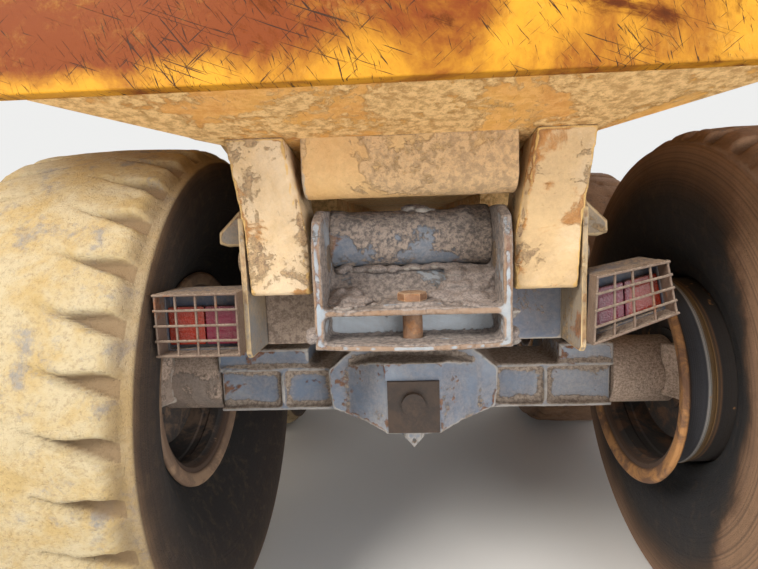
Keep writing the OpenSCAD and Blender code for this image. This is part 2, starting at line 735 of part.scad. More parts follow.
module top_rails() color("goldenrod") place() both() loft([for (s = stations) s[0]],
    [for (s = stations) [[s[7] - plate_t - 40, s[8]], [s[7] + rib_d, s[8]],
        [s[7] + rib_d, s[8] + 90], [s[7] - plate_t - 40, s[8] + 90]]]);

module side_ribs() color("goldenrod") place() both() {
    s = stations[2];
    for (y = [0, 800, 1600, 2400, 3200, 3980])
        translate([0, y + rib_w, 0]) rotate([90, 0, 0]) linear_extrude(rib_w) polygon([
            [s[3] + 60, s[4] + 60 * wing_slope], [s[5], s[6]], [s[7], s[8]], [s[7] + rib_d, s[8]],
            [s[5] + rib_d + 4, s[6] - 20]]);
}

module body_sills() color("goldenrod") place() both()
    block(rail_x + 5, rail_x + rail_w - 5, -100, 3600, rail_top + 15, floor_z);

module ear_outline() {
    difference() {
        union() {
            polygon([[-596, 1205], [-638, floor_at(-638)], [hinge_y + 65, floor_at(hinge_y + 65)],
                [hinge_y + 65, hinge_z], [hinge_y + 50, 1205]]);
            translate([hinge_y, hinge_z]) circle(65);
        }
        translate([hinge_y, hinge_z]) circle(hinge_pin_r + run_gap);
    }
}

// Rear cover of an ear: [x, z] outline, pressed into the leaning side view
module ear_cover() intersection() {
    side_plate(0, tail_x + 40) polygon([[-598, 1190], [-650, floor_at(-650)],
        [-638, floor_at(-638)], [-586, 1202], [-540, 1196], [-546, 1184], [-590, 1183]]);
    translate([0, -500, 0]) rotate([90, 0, 0]) linear_extrude(200) polygon([
        [ear_in - 3, 1180], [ear_in + 39, 1580], [tail_x + 20, 1580], [ear_out + 3, 1330],
        [ear_out + 3, 1180]]);
}

module hinge_ears() color("goldenrod") place() both() {
    intersection() {
        side_plate(ear_in - 3, ear_out) ear_outline();
        translate([0, -300, 0]) rotate([90, 0, 0]) linear_extrude(500) polygon([
            [ear_in - 3, 1180], [ear_in - 3, 1320], [ear_in + 39, 1580],
            [ear_in + 39 + ear_t, 1580], [ear_in - 3 + ear_t, 1320], [ear_in - 3 + ear_t, 1180]]);
    }
    side_plate(ear_out - ear_t, ear_out) ear_outline();
    ear_cover();
    difference() {
        bar_x(ear_in + ear_t - 4, ear_out - ear_t, hinge_y, hinge_z, 52);
        bar_x(ear_in, ear_out, hinge_y, hinge_z, hinge_pin_r + run_gap);
    }
}

module ear_cross_beam() color("goldenrod") place() side_plate(-ear_in, ear_in) {
    translate([-580, 1462]) circle(55);
    polygon([[-635, 1462], [-525, 1462], [-525, floor_at(-525)], [-635, floor_at(-635)]]);
}

// ---- wheels ----

// Wheel centre of one side and axle, x outward
module wheel_frame(side, y) translate([side * track / 2, y, axle_z])
    rotate([0, 90, 0]) mirror([0, 0, side > 0 ? 0 : 1]) children();

module rim() {
    f = rim_flange_r;
    s = rim_seat_r;
    t = rim_t;
    h = rim_half;
    bore = spindle_r + run_gap;
    rotate_extrude() polygon([
        [f - t, -h], [f, -h + 7], [f, -h + 19], [s + 12, -h + 33], [s, -h + 54],
        [s, h - 54], [s + 12, h - 33], [f, h - 19], [f, h - 7], [f - t, h],
        [s - 2, h - 19], [s - t, h - 44], [s - t, -h + 44], [s - 2, -h + 19]]);
    rotate_extrude() polygon([
        [0, 0], [0, 268], [120, 262], [175, 235], [190, 140], [hub_r, 130],
        [hub_r, 60 + t], [s - t + 2, 60 + t], [s - t + 2, 60], [hub_r, 60], [hub_r, -88],
        [150, -88], [150, -105], [240, -105], [240, -130], [140, -130], [140, -138],
        [bore, -138], [bore, 0]]);
}

// Lug of the outer shoulder: side view [radius, z] and the plan [-z, place round the tyre]
module lug() {
    w = tyre_w / 2;
    z0 = 30;
    z1 = w - 40;
    mid = (z0 + z1) / 2;
    reach = (mid - z0) * lug_slant + lug_root;
    top = sqrt(pow(wheel_r - 1, 2) - reach * reach);
    foot = wheel_r - lug_h - 10;
    intersection() {
        rotate([90, 0, 0]) linear_extrude(2 * reach + 2, center = true) polygon([
            [foot, z0], [top, z0], [top, w - 74], [top - 13, w - 56], [foot, w - 38]]);
        translate([foot - 5, 0, 0]) rotate([0, 90, 0]) linear_extrude(top - foot + 10)
            polygon([for (c = [[z0, -lug_root], [z1, -lug_tip], [z1, lug_tip], [z0, lug_root]])
                [-c[0], (c[0] - mid) * lug_slant + c[1]]]);
    }
}

// Carcass whose inner bead has moved outward by bead and whose tread band by tread
module carcass(bead, tread) {
    mid = (bead + tread) / 2;
    low = tread * 0.8 + bead * 0.2;
    r = wheel_r;
    w = tyre_w / 2;
    s = rim_seat_r + 1;
    h = rim_half;
    f = rim_flange_r;
    rotate_extrude() polygon([
        [s, -h + 56 + bead], [s + 13, -h + 35 + bead], [f + 2, -h + 21 + bead],
        [f + 60, -w + 22 + bead * 0.9 + tread * 0.1], [540, -w + 3 + mid],
        [620, -w + low], [715, -w + 9 + tread], [757, -w + 12 + tread],
        [r - lug_h, -w + 34 + tread], [r - lug_h, -50 + tread], [r, -38 + tread],
        [r, 38 + tread], [r - lug_h, 50 + tread], [r - lug_h, w - 34 + tread],
        [757, w - 12 + tread], [715, w - 9 + tread],
        [620, w + tread * 0.8], [540, w - 3 + tread / 2],
        [f + 60, w - 22 + tread * 0.1], [f + 2, h - 21], [s + 13, h - 35], [s, h - 56],
        [s, h - 100], [f + 10, w - 90], [540, w - 38 + tread / 2],
        [690, w - 50 + tread], [735, w - 100 + tread], [735, -w + 100 + tread],
        [690, -w + 50 + tread], [540, -w + 38 + mid], [f + 10, -w + 90 + bead],
        [s, -h + 100 + bead]]);
}

module tyre(bead, tread) {
    carcass(bead, tread);
    translate([0, 0, tread]) for (k = [0:lugs - 1]) {
        rotate([0, 0, (k + 0.25) * 360 / lugs]) lug();
        rotate([0, 0, (k - 0.25) * 360 / lugs]) mirror([0, 0, 1]) lug();
    }
}

module rim_rear_left() color("saddlebrown") place() wheel_frame(-1, 0) rim();

module rim_rear_right() color("saddlebrown") place() wheel_frame(1, 0) rim();

module rim_middle_left() color("saddlebrown") place() wheel_frame(-1, wheelbase) rim();

module rim_middle_right() color("saddlebrown") place() wheel_frame(1, wheelbase) rim();

module tyre_rear_left() color("#403a33") place() wheel_frame(-1, 0) tyre(0, -tread_in);

module tyre_rear_right() color("#403a33") place()
    wheel_frame(1, 0) tyre(bead_shift, tread_out);

module tyre_middle_left() color("#403a33") place() wheel_frame(-1, wheelbase) tyre(0, 0);

module tyre_middle_right() color("#403a33") place() wheel_frame(1, wheelbase) tyre(0, 0);

frame_rails();
hitch_head();
front_cross_member();
bogie_cross_tube();
tail_side_plates();
tail_cross_plates();
tow_pocket();
pocket_tube();
tow_pin();
hinge_pins();
walking_beams();
spring_pads();
axle_rear();
axle_middle();
axle_covers();
hub_housings();
brake_calipers();
prop_shafts();
torque_rods();
hoist_brackets();
lamp_housings();
lamp_lenses();
lamp_guards();
rest_pads();
body_floor();
wear_plate();
body_side_left();
body_side_right();
body_front_wall();
body_lip();
top_rails();
side_ribs();
body_sills();
hinge_ears();
ear_cross_beam();
hoist_lugs();
rim_rear_left();
rim_rear_right();
rim_middle_left();
rim_middle_right();
tyre_rear_left();
tyre_rear_right();
tyre_middle_left();
tyre_middle_right();
hoist_barrel_left();
hoist_barrel_right();
hoist_rod_left();
hoist_rod_right();
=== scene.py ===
"""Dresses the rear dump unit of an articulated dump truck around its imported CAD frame.

Every size is in metres, in the frame of the CAD: +X to the unit's right side, +Y
forward, +Z up, the ground at z = 0 and the rear axle at y = REAR_Y.
"""
import logging
import math
import random
from dataclasses import dataclass, replace
from enum import Enum
from typing import Callable, Sequence

import bmesh
import bpy
import numpy as np
from mathutils import Matrix, Vector


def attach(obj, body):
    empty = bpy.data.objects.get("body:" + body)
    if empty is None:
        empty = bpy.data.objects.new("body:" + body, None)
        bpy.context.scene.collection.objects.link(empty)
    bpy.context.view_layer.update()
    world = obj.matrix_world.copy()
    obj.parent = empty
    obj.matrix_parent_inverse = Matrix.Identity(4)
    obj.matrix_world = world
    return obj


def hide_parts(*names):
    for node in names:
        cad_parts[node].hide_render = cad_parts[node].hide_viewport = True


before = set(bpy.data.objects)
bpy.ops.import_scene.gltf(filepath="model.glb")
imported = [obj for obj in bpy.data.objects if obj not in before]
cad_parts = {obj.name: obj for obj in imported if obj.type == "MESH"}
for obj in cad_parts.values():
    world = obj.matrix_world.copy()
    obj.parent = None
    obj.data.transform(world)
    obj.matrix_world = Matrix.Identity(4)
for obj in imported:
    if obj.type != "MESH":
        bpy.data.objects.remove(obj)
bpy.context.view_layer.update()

LOG = logging.getLogger("dump_unit")

REAR_Y = -1.805
WHEELBASE = 1.670
AXLE_Z = 0.810
TRACK_HALF = 1.020
LAMP_MIDDLE = 0.504
LIP_LOW = 1.600
LIP_HIGH = 1.685
FADE_LEFT = -0.60
FADE_RIGHT = 0.25

Socket = bpy.types.NodeSocket
Value = float | tuple | Socket
Colour = tuple[float, float, float]


class Side(Enum):
    """The two sides of the unit, as the sign of x."""

    LEFT = -1
    RIGHT = 1

    @property
    def word(self) -> str:
        """The side's name as the nodes write it."""
        return self.name.lower()


class Slot(Enum):
    """The record's material slots."""

    FRAME = "frame_paint"
    BODY = "body_paint"
    RUST = "rust"
    RIM = "rim_paint"
    TYRE = "tyre"


# ---- shader graphs ----


class Graph:
    """Short calls that add nodes to one node tree."""

    def __init__(self, tree: bpy.types.NodeTree) -> None:
        """Keeps the tree that the calls add to."""
        self.tree = tree

    def node(self, kind: str, **settings: object) -> bpy.types.Node:
        """Adds a node.

        Args:
            kind: Blender's name for the node type.
            settings: properties to set on it.

        Returns:
            The new node.
        """
        made = self.tree.nodes.new(kind)
        for key, value in settings.items():
            setattr(made, key, value)
        return made

    def feed(self, socket: Socket, value: Value) -> None:
        """Links a socket to an input, or writes a plain value on it.

        Args:
            socket: the input.
            value: another node's output, a number or a colour.
        """
        if isinstance(value, Socket):
            self.tree.links.new(value, socket)
        elif isinstance(value, tuple) and len(value) == 3 and socket.type == "RGBA":
            socket.default_value = (*value, 1.0)
        else:
            socket.default_value = value

    def math(self, operation: str, a: Value, b: Value = 0.0) -> Socket:
        """Adds a Math node.

        Args:
            operation: Blender's name for what it does.
            a: the first number.
            b: the second number.

        Returns:
            Its result.
        """
        made = self.node("ShaderNodeMath", operation=operation)
        self.feed(made.inputs[0], a)
        self.feed(made.inputs[1], b)
        return made.outputs[0]

    def scaled(self, value: Value, factor: Value, plus: Value) -> Socket:
        """Adds a Math node that multiplies and adds.

        Args:
            value: the number to change.
            factor: what it is multiplied by.
            plus: what is added then.

        Returns:
            Its result.
        """
        made = self.node("ShaderNodeMath", operation="MULTIPLY_ADD")
        for socket, given in zip(made.inputs, (value, factor, plus)):
            self.feed(socket, given)
        return made.outputs[0]

    def blend(self, factor: Value, a: Value, b: Value) -> Socket:
        """Adds a colour Mix node.

        Args:
            factor: the second colour's share.
            a: the first colour.
            b: the second colour.

        Returns:
            The mixed colour.
        """
        made = self.node("ShaderNodeMix", data_type="RGBA")
        self.feed(made.inputs[0], factor)
        self.feed(made.inputs[6], a)
        self.feed(made.inputs[7], b)
        return made.outputs[2]

    def noise(self, vector: Value, scale: Value, detail: float = 4.0,
              roughness: float = 0.55, distortion: float = 0.0) -> Socket:
        """Adds a Noise node.

        Args:
            vector: the coordinates.
            scale: patches to a metre, about.
            detail: how many finer layers it has.
            roughness: how strong the finer layers are.
            distortion: how far the pattern is drawn about.

        Returns:
            Its value, from 0 to 1.
        """
        made = self.node("ShaderNodeTexNoise")
        self.feed(made.inputs["Vector"], vector)
        self.feed(made.inputs["Scale"], scale)
        made.inputs["Detail"].default_value = detail
        made.inputs["Roughness"].default_value = roughness
        made.inputs["Distortion"].default_value = distortion
        return made.outputs[0]

    def cells(self, vector: Value, scale: Value, feature: str = "F1") -> Socket:
        """Adds a Voronoi node.

        Args:
            vector: the coordinates.
            scale: cells to a metre.
            feature: Blender's name for what is measured.

        Returns:
            The distance it measures.
        """
        made = self.node("ShaderNodeTexVoronoi", feature=feature)
        self.feed(made.inputs["Vector"], vector)
        self.feed(made.inputs["Scale"], scale)
        return made.outputs["Distance"]

    def stretched(self, vector: Value, scale: tuple[float, float, float]) -> Socket:
        """Adds a Mapping node that multiplies coordinates.

        Args:
            vector: the coordinates.
            scale: one number for each axis.

        Returns:
            The stretched coordinates.
        """
        made = self.node("ShaderNodeMapping")
        self.feed(made.inputs["Vector"], vector)
        made.inputs["Scale"].default_value = scale
        return made.outputs[0]

    def strokes(self, vector: Value, length: float, width: float, lean: float,
                seed: float) -> Socket:
        """Returns coordinates in which noise draws strokes that lean in the x-z plane.

        Args:
            vector: the coordinates to start from.
            length: a stroke's length in metres.
            width: its width in metres.
            lean: its angle to the x axis in radians.
            seed: another seed gives other strokes.

        Returns:
            The coordinates.
        """
        made = self.node("ShaderNodeMapping", vector_type="TEXTURE")
        self.feed(made.inputs["Vector"], vector)
        made.inputs["Scale"].default_value = (length, length, width)
        made.inputs["Rotation"].default_value = (0.0, lean, 0.0)
        made.inputs["Location"].default_value = (seed, seed, seed)
        return made.outputs[0]

    def ramp(self, value: Value, stops: Sequence[tuple[float, tuple]]) -> Socket:
        """Adds a colour ramp and returns its colour.

        Args:
            value: the place on the ramp, from 0 to 1.
            stops: place and colour of each stop, in rising order.

        Returns:
            The colour there.
        """
        made = self.node("ShaderNodeValToRGB")
        self.feed(made.inputs[0], value)
        steps = made.color_ramp.elements
        while len(steps) < len(stops):
            steps.new(1.0)
        for step, (place, colour) in zip(steps, stops):
            step.position = place
            step.color = (*colour, 1.0)
        return made.outputs[0]

    def along(self, value: Value) -> Socket:
        """Returns a vector that holds one number, for rings and bands of noise."""
        made = self.node("ShaderNodeCombineXYZ")
        self.feed(made.inputs[0], value)
        return made.outputs[0]

    def window(self, value: Value, low: Value, high: Value) -> Socket:
        """Adds a smooth step. With low above high, it falls instead of rising.

        Args:
            value: the number to judge.
            low: where the result is 0.
            high: where it is 1.

        Returns:
            A number from 0 to 1.
        """
        made = self.node("ShaderNodeMapRange", interpolation_type="SMOOTHSTEP")
        self.feed(made.inputs[0], value)
        self.feed(made.inputs[1], low)
        self.feed(made.inputs[2], high)
        return made.outputs[0]

    def mark(self, name: str) -> Socket:
        """Returns a number that the mesh keeps for each point."""
        made = self.node("ShaderNodeAttribute", attribute_name=name)
        return made.outputs["Fac"]

    def part(self, axis: int) -> Socket:
        """Returns one of the piece's own coordinates: 0 for x, 1 for y, 2 for z."""
        split = self.node("ShaderNodeSeparateXYZ")
        self.feed(split.inputs[0], self.node("ShaderNodeTexCoord").outputs["Object"])
        return split.outputs[axis]

    def facing(self, axis: int) -> Socket:
        """Splits the surface normal in the piece's own frame.

        Args:
            axis: 0 for x, 1 for y, 2 for z.

        Returns:
            The normal's part along that axis.
        """
        coords = self.node("ShaderNodeTexCoord")
        split = self.node("ShaderNodeSeparateXYZ")
        self.feed(split.inputs[0], coords.outputs["Normal"])
        return split.outputs[axis]


GroupInputs = dict[str, tuple[str, object]]
GROUPS: dict[str, bpy.types.NodeTree] = {}


def shared_group(name: str, inputs: GroupInputs, outputs: dict[str, str],
                 build: Callable[[Graph, dict[str, Socket]], dict[str, Socket]]) -> None:
    """Makes one shader node group that several finishes use.

    Args:
        name: the group's name.
        inputs: input name to socket type and default value.
        outputs: output name to socket type.
        build: draws the group and returns the socket for each output.
    """
    tree = bpy.data.node_groups.new(name, "ShaderNodeTree")
    for key, (kind, default) in inputs.items():
        socket = tree.interface.new_socket(key, in_out="INPUT", socket_type=kind)
        if default is not None:
            socket.default_value = default
    for key, kind in outputs.items():
        tree.interface.new_socket(key, in_out="OUTPUT", socket_type=kind)
    start = tree.nodes.new("NodeGroupInput")
    end = tree.nodes.new("NodeGroupOutput")
    made = build(Graph(tree), {key: start.outputs[key] for key in inputs})
    for key, socket in made.items():
        tree.links.new(socket, end.inputs[key])
    GROUPS[name] = tree


COLOUR = "NodeSocketColor"
NUMBER = "NodeSocketFloat"
VECTOR = "NodeSocketVector"


def draw_dust(graph: Graph, given: dict[str, Socket]) -> dict[str, Socket]:
    """Dust and dry mud in ragged patches, in nooks and on what faces up, over a thin film.

    Args:
        graph: the group's graph.
        given: the group's inputs by name.

    Returns:
        The group's outputs by name.
    """
    broad = graph.noise(given["Vector"], given["Scale"], 10, 0.68, 0.5)
    fine = graph.noise(given["Vector"], graph.math("MULTIPLY", given["Scale"], 14.0), 5, 0.7)
    level = graph.math("ADD", graph.math("MULTIPLY", broad, 0.80),
                       graph.math("MULTIPLY", fine, 0.20))
    lift = graph.math("MULTIPLY", graph.window(graph.facing(2), 0.1, 0.8), given["Upward"])
    bare = graph.math("MULTIPLY", graph.window(graph.facing(1), -0.6, -0.95), given["Tail"])
    lift = graph.math("SUBTRACT", lift, bare)
    nook = graph.math("MULTIPLY", graph.mark("nook"), given["Nook"])
    total = graph.math("ADD", graph.math("ADD", level, lift), nook)
    edge = graph.math("SUBTRACT", 1.0, given["Amount"])
    patch = graph.window(total, graph.math("SUBTRACT", edge, 0.035),
                         graph.math("ADD", edge, 0.035))
    film = graph.window(total, graph.math("SUBTRACT", edge, 0.25), edge)
    mask = graph.math("MAXIMUM", patch, graph.math("MULTIPLY", film, 0.38))
    tone = graph.blend(graph.window(fine, 0.38, 0.60), given["Shade"], given["Dust"])
    specks = graph.noise(given["Vector"], graph.math("MULTIPLY", given["Scale"], 34.0), 3, 0.7)
    tone = graph.blend(graph.math("MULTIPLY", graph.window(specks, 0.56, 0.68), 0.65),
                       tone, given["Shade"])
    return {"Color": graph.blend(mask, given["Color"], tone), "Mask": mask}


def draw_rust(graph: Graph, given: dict[str, Socket]) -> dict[str, Socket]:
    """Rust blooms with a darker heart and an orange rim.

    Args:
        graph: the group's graph.
        given: the group's inputs by name.

    Returns:
        The group's outputs by name.
    """
    broad = graph.noise(given["Vector"], given["Scale"], 8, 0.68, 0.6)
    spots = graph.cells(given["Vector"], graph.math("MULTIPLY", given["Scale"], 6.0))
    level = graph.math("SUBTRACT", broad, graph.math("MULTIPLY", spots, 0.12))
    level = graph.math("ADD", level, graph.math("MULTIPLY", graph.mark("edge"), 0.18))
    edge = graph.math("SUBTRACT", 1.0, given["Amount"])
    mask = graph.window(level, graph.math("SUBTRACT", edge, 0.03),
                        graph.math("ADD", edge, 0.05))
    heart = graph.window(level, edge, graph.math("ADD", edge, 0.14))
    tone = graph.blend(heart, given["Rim"], given["Heart"])
    return {"Color": graph.blend(mask, given["Color"], tone), "Mask": mask}


def draw_edges(graph: Graph, given: dict[str, Socket]) -> dict[str, Socket]:
    """Paint rubbed off along the plates' edges.

    Args:
        graph: the group's graph.
        given: the group's inputs by name.

    Returns:
        The group's outputs by name.
    """
    rough = graph.noise(given["Vector"], 38.0, 5, 0.7)
    level = graph.math("MULTIPLY", graph.mark("edge"), graph.math("ADD", rough, 0.55))
    edge = graph.math("SUBTRACT", 1.0, given["Amount"])
    mask = graph.window(level, graph.math("SUBTRACT", edge, 0.12),
                        graph.math("ADD", edge, 0.12))
    return {"Color": graph.blend(mask, given["Color"], given["Bare"]), "Mask": mask}


def draw_scratches(graph: Graph, given: dict[str, Socket]) -> dict[str, Socket]:
    """Thin strokes in four leanings, crowded in some places and sparse in others.

    Args:
        graph: the group's graph.
        given: the group's inputs by name.

    Returns:
        The group's outputs by name.
    """
    crowd = graph.noise(given["Vector"], 2.2, 3, 0.6)
    marks: Socket | None = None
    for lean, length, width, seed in ((0.9, 0.07, 0.0035, 3.0), (-0.7, 0.09, 0.0032, 17.0),
                                      (1.30, 0.05, 0.0028, 31.0), (0.35, 0.16, 0.0040, 43.0)):
        space = graph.strokes(given["Vector"], length, width, lean, seed)
        stroke = graph.noise(space, given["Scale"], 3, 0.6, 0.5)
        level = graph.math("ADD", stroke, graph.math("MULTIPLY", crowd, 0.35))
        edge = graph.math("SUBTRACT", 1.32, given["Amount"])
        one = graph.window(level, edge, graph.math("ADD", edge, 0.05))
        marks = one if marks is None else graph.math("MAXIMUM", marks, one)
    return {"Color": graph.blend(marks, given["Color"], given["Mark"]), "Mask": marks}


def draw_crust(graph: Graph, given: dict[str, Socket]) -> dict[str, Socket]:
    """Height of dried mud and pitted paint: lumps, grit and a few pits.

    Args:
        graph: the group's graph.
        given: the group's inputs by name.

    Returns:
        The group's outputs by name.
    """
    lumps = graph.noise(given["Vector"], given["Scale"], 7, 0.62)
    grit = graph.noise(given["Vector"], graph.math("MULTIPLY", given["Scale"], 11.0), 3, 0.7)
    pits = graph.cells(given["Vector"], graph.math("MULTIPLY", given["Scale"], 3.0))
    pits = graph.window(pits, 0.0, 0.35)
    height = graph.math("ADD", graph.math("MULTIPLY", lumps, 0.6),
                        graph.math("MULTIPLY", grit, 0.25))
    height = graph.math("ADD", height, graph.math("MULTIPLY", pits, 0.15))
    return {"Height": height}


def make_groups() -> None:
    """Builds every shared effect once."""
    tan = (0.62, 0.42, 0.20, 1.0)
    shared_group("dust_coat", {
        "Vector": (VECTOR, None), "Color": (COLOUR, tan), "Dust": (COLOUR, tan),
        "Shade": (COLOUR, tan), "Amount": (NUMBER, 0.5), "Scale": (NUMBER, 5.0),
        "Upward": (NUMBER, 0.2), "Nook": (NUMBER, 0.3), "Tail": (NUMBER, 0.0)},
        {"Color": COLOUR, "Mask": NUMBER}, draw_dust)
    shared_group("rust_bloom", {
        "Vector": (VECTOR, None), "Color": (COLOUR, tan), "Rim": (COLOUR, tan),
        "Heart": (COLOUR, tan), "Amount": (NUMBER, 0.4), "Scale": (NUMBER, 5.0)},
        {"Color": COLOUR, "Mask": NUMBER}, draw_rust)
    shared_group("edge_rub", {
        "Vector": (VECTOR, None), "Color": (COLOUR, tan), "Bare": (COLOUR, tan),
        "Amount": (NUMBER, 0.5)}, {"Color": COLOUR, "Mask": NUMBER}, draw_edges)
    shared_group("scratch_marks", {
        "Vector": (VECTOR, None), "Color": (COLOUR, tan), "Mark": (COLOUR, tan),
        "Amount": (NUMBER, 0.4), "Scale": (NUMBER, 1.0)},
        {"Color": COLOUR, "Mask": NUMBER}, draw_scratches)
    shared_group("crust", {"Vector": (VECTOR, None), "Scale": (NUMBER, 20.0)},
                 {"Height": NUMBER}, draw_crust)


class Sheet(Graph):
    """One material's own graph, with a Principled shader at its end."""

    def __init__(self, name: str) -> None:
        """Makes the material and its shader.

        Args:
            name: the material's name.
        """
        self.material = bpy.data.materials.new(name)
        self.material.use_nodes = True
        super().__init__(self.material.node_tree)
        self.shader = self.material.node_tree.nodes["Principled BSDF"]
        self.vector = self.node("ShaderNodeTexCoord").outputs["Object"]

    def use(self, group: str, **given: Value) -> dict[str, Socket]:
        """Places a shared group.

        Args:
            group: its name.
            given: input name to value; Vector is the piece's own coordinates.

        Returns:
            The group's outputs by name.
        """
        made = self.node("ShaderNodeGroup", node_tree=GROUPS[group])
        self.feed(made.inputs["Vector"], given.pop("Vector", self.vector))
        for key, value in given.items():
            self.feed(made.inputs[key], value)
        return {socket.name: socket for socket in made.outputs}

    def close(self, colour: Value, roughness: Value, height: Value | None = None,
              depth: float = 0.002, metallic: Value = 0.0) -> bpy.types.Material:
        """Feeds the shader and returns the material.

        Args:
            colour: base colour.
            roughness: roughness.
            height: bump height from 0 to 1, or None.
            depth: the bump's distance in metres.
            metallic: metallic share.

        Returns:
            The finished material.
        """
        self.feed(self.shader.inputs["Base Color"], colour)
        self.feed(self.shader.inputs["Roughness"], roughness)
        self.feed(self.shader.inputs["Metallic"], metallic)
        if height is not None:
            bump = self.node("ShaderNodeBump")
            bump.inputs["Strength"].default_value = 1.0
            bump.inputs["Distance"].default_value = depth
            self.feed(bump.inputs["Height"], height)
            self.feed(self.shader.inputs["Normal"], bump.outputs[0])
        return self.material


# ---- finishes ----


@dataclass(frozen=True)
class WornPaint:
    """Old paint on steel: two tones, rust, rubbed edges, scratches and dust.

    Shares run from 0 to 1, scales are patches to a metre, and crust_depth is in metres.
    left_dust adds dust left of the middle, left_fade fades the lip's upper left corner, tail_bare
    clears faces that look to the tail, and below the height pale_below the paint is paler and
    carries less dust: partly the paint's own pale blue-grey, partly painted light in a shaded
    recess.
    """

    name: str
    paint: Colour
    faded: Colour
    rust: Colour = (0.30, 0.105, 0.035)
    rust_heart: Colour = (0.085, 0.042, 0.024)
    bare: Colour = (0.40, 0.36, 0.31)
    dust: Colour = (0.52, 0.39, 0.24)
    dust_shade: Colour = (0.34, 0.24, 0.15)
    mark: Colour = (0.10, 0.045, 0.02)
    pale: Colour = (0.62, 0.68, 0.73)
    rust_share: float = 0.36
    rust_scale: float = 5.0
    edge_share: float = 0.5
    scratch_share: float = 0.35
    dust_share: float = 0.42
    dust_scale: float = 4.0
    dust_up: float = 0.25
    dust_nook: float = 0.35
    left_dust: float = 0.0
    tail_bare: float = 0.0
    left_fade: float = 0.0
    pale_below: float = 0.0
    gloss: float = 0.55
    shine: float = 0.5
    crust_scale: float = 22.0
    crust_depth: float = 0.004

    def build(self) -> bpy.types.Material:
        """Draws the material.

        Returns:
            The finished material.
        """
        sheet = Sheet(self.name)
        high = sheet.window(sheet.part(2), LIP_LOW, LIP_HIGH)
        corner = sheet.math("MULTIPLY", sheet.window(sheet.part(0), FADE_RIGHT, FADE_LEFT),
                            sheet.scaled(high, 1.25, -0.30))
        fade = sheet.scaled(corner, self.left_fade,
                            sheet.noise(sheet.vector, 3.1, 8, 0.66, 0.4))
        fade = sheet.window(fade, 0.38, 0.62)
        colour = sheet.blend(fade, self.paint, self.faded)
        # Painted light in part: below pale_below and away from the edges the paint turns to the
        # pale tone and carries less dust; this is the jaw's pale blue-grey paint, lightened
        # further for the shade in the deep jaw.
        low = sheet.window(sheet.part(2), self.pale_below, self.pale_below - 0.015)
        low = sheet.math("MULTIPLY", low, sheet.window(sheet.mark("edge"), 0.10, 0.02))
        colour = sheet.blend(low, colour, self.pale)
        scratch = sheet.use("scratch_marks", Color=colour, Mark=self.mark,
                            Amount=self.scratch_share)
        rust = sheet.use("rust_bloom", Color=scratch["Color"], Rim=self.rust,
                         Heart=self.rust_heart, Amount=self.rust_share,
                         Scale=self.rust_scale)
        rub = sheet.use("edge_rub", Color=rust["Color"], Bare=self.bare,
                        Amount=self.edge_share)
        share = sheet.scaled(sheet.window(sheet.part(0), 0.1, -0.1), self.left_dust,
                             self.dust_share)
        share = sheet.scaled(low, -0.055, share)
        dust = sheet.use("dust_coat", Color=rub["Color"], Dust=self.dust,
                         Shade=self.dust_shade, Amount=share,
                         Scale=self.dust_scale, Upward=self.dust_up, Nook=self.dust_nook,
                         Tail=self.tail_bare)
        dull = sheet.math("MAXIMUM", dust["Mask"], rust["Mask"])
        roughness = sheet.scaled(dull, 0.92 - self.gloss, self.gloss)
        crust = sheet.use("crust", Scale=self.crust_scale)["Height"]
        height = sheet.math("MULTIPLY", crust, sheet.math("ADD", dull, 0.25))
        height = sheet.math("SUBTRACT", height, sheet.math("MULTIPLY", scratch["Mask"], 0.12))
        sheet.shader.inputs["Specular IOR Level"].default_value = self.shine
        return sheet.close(colour=dust["Color"], roughness=roughness, height=height,
                           depth=self.crust_depth)


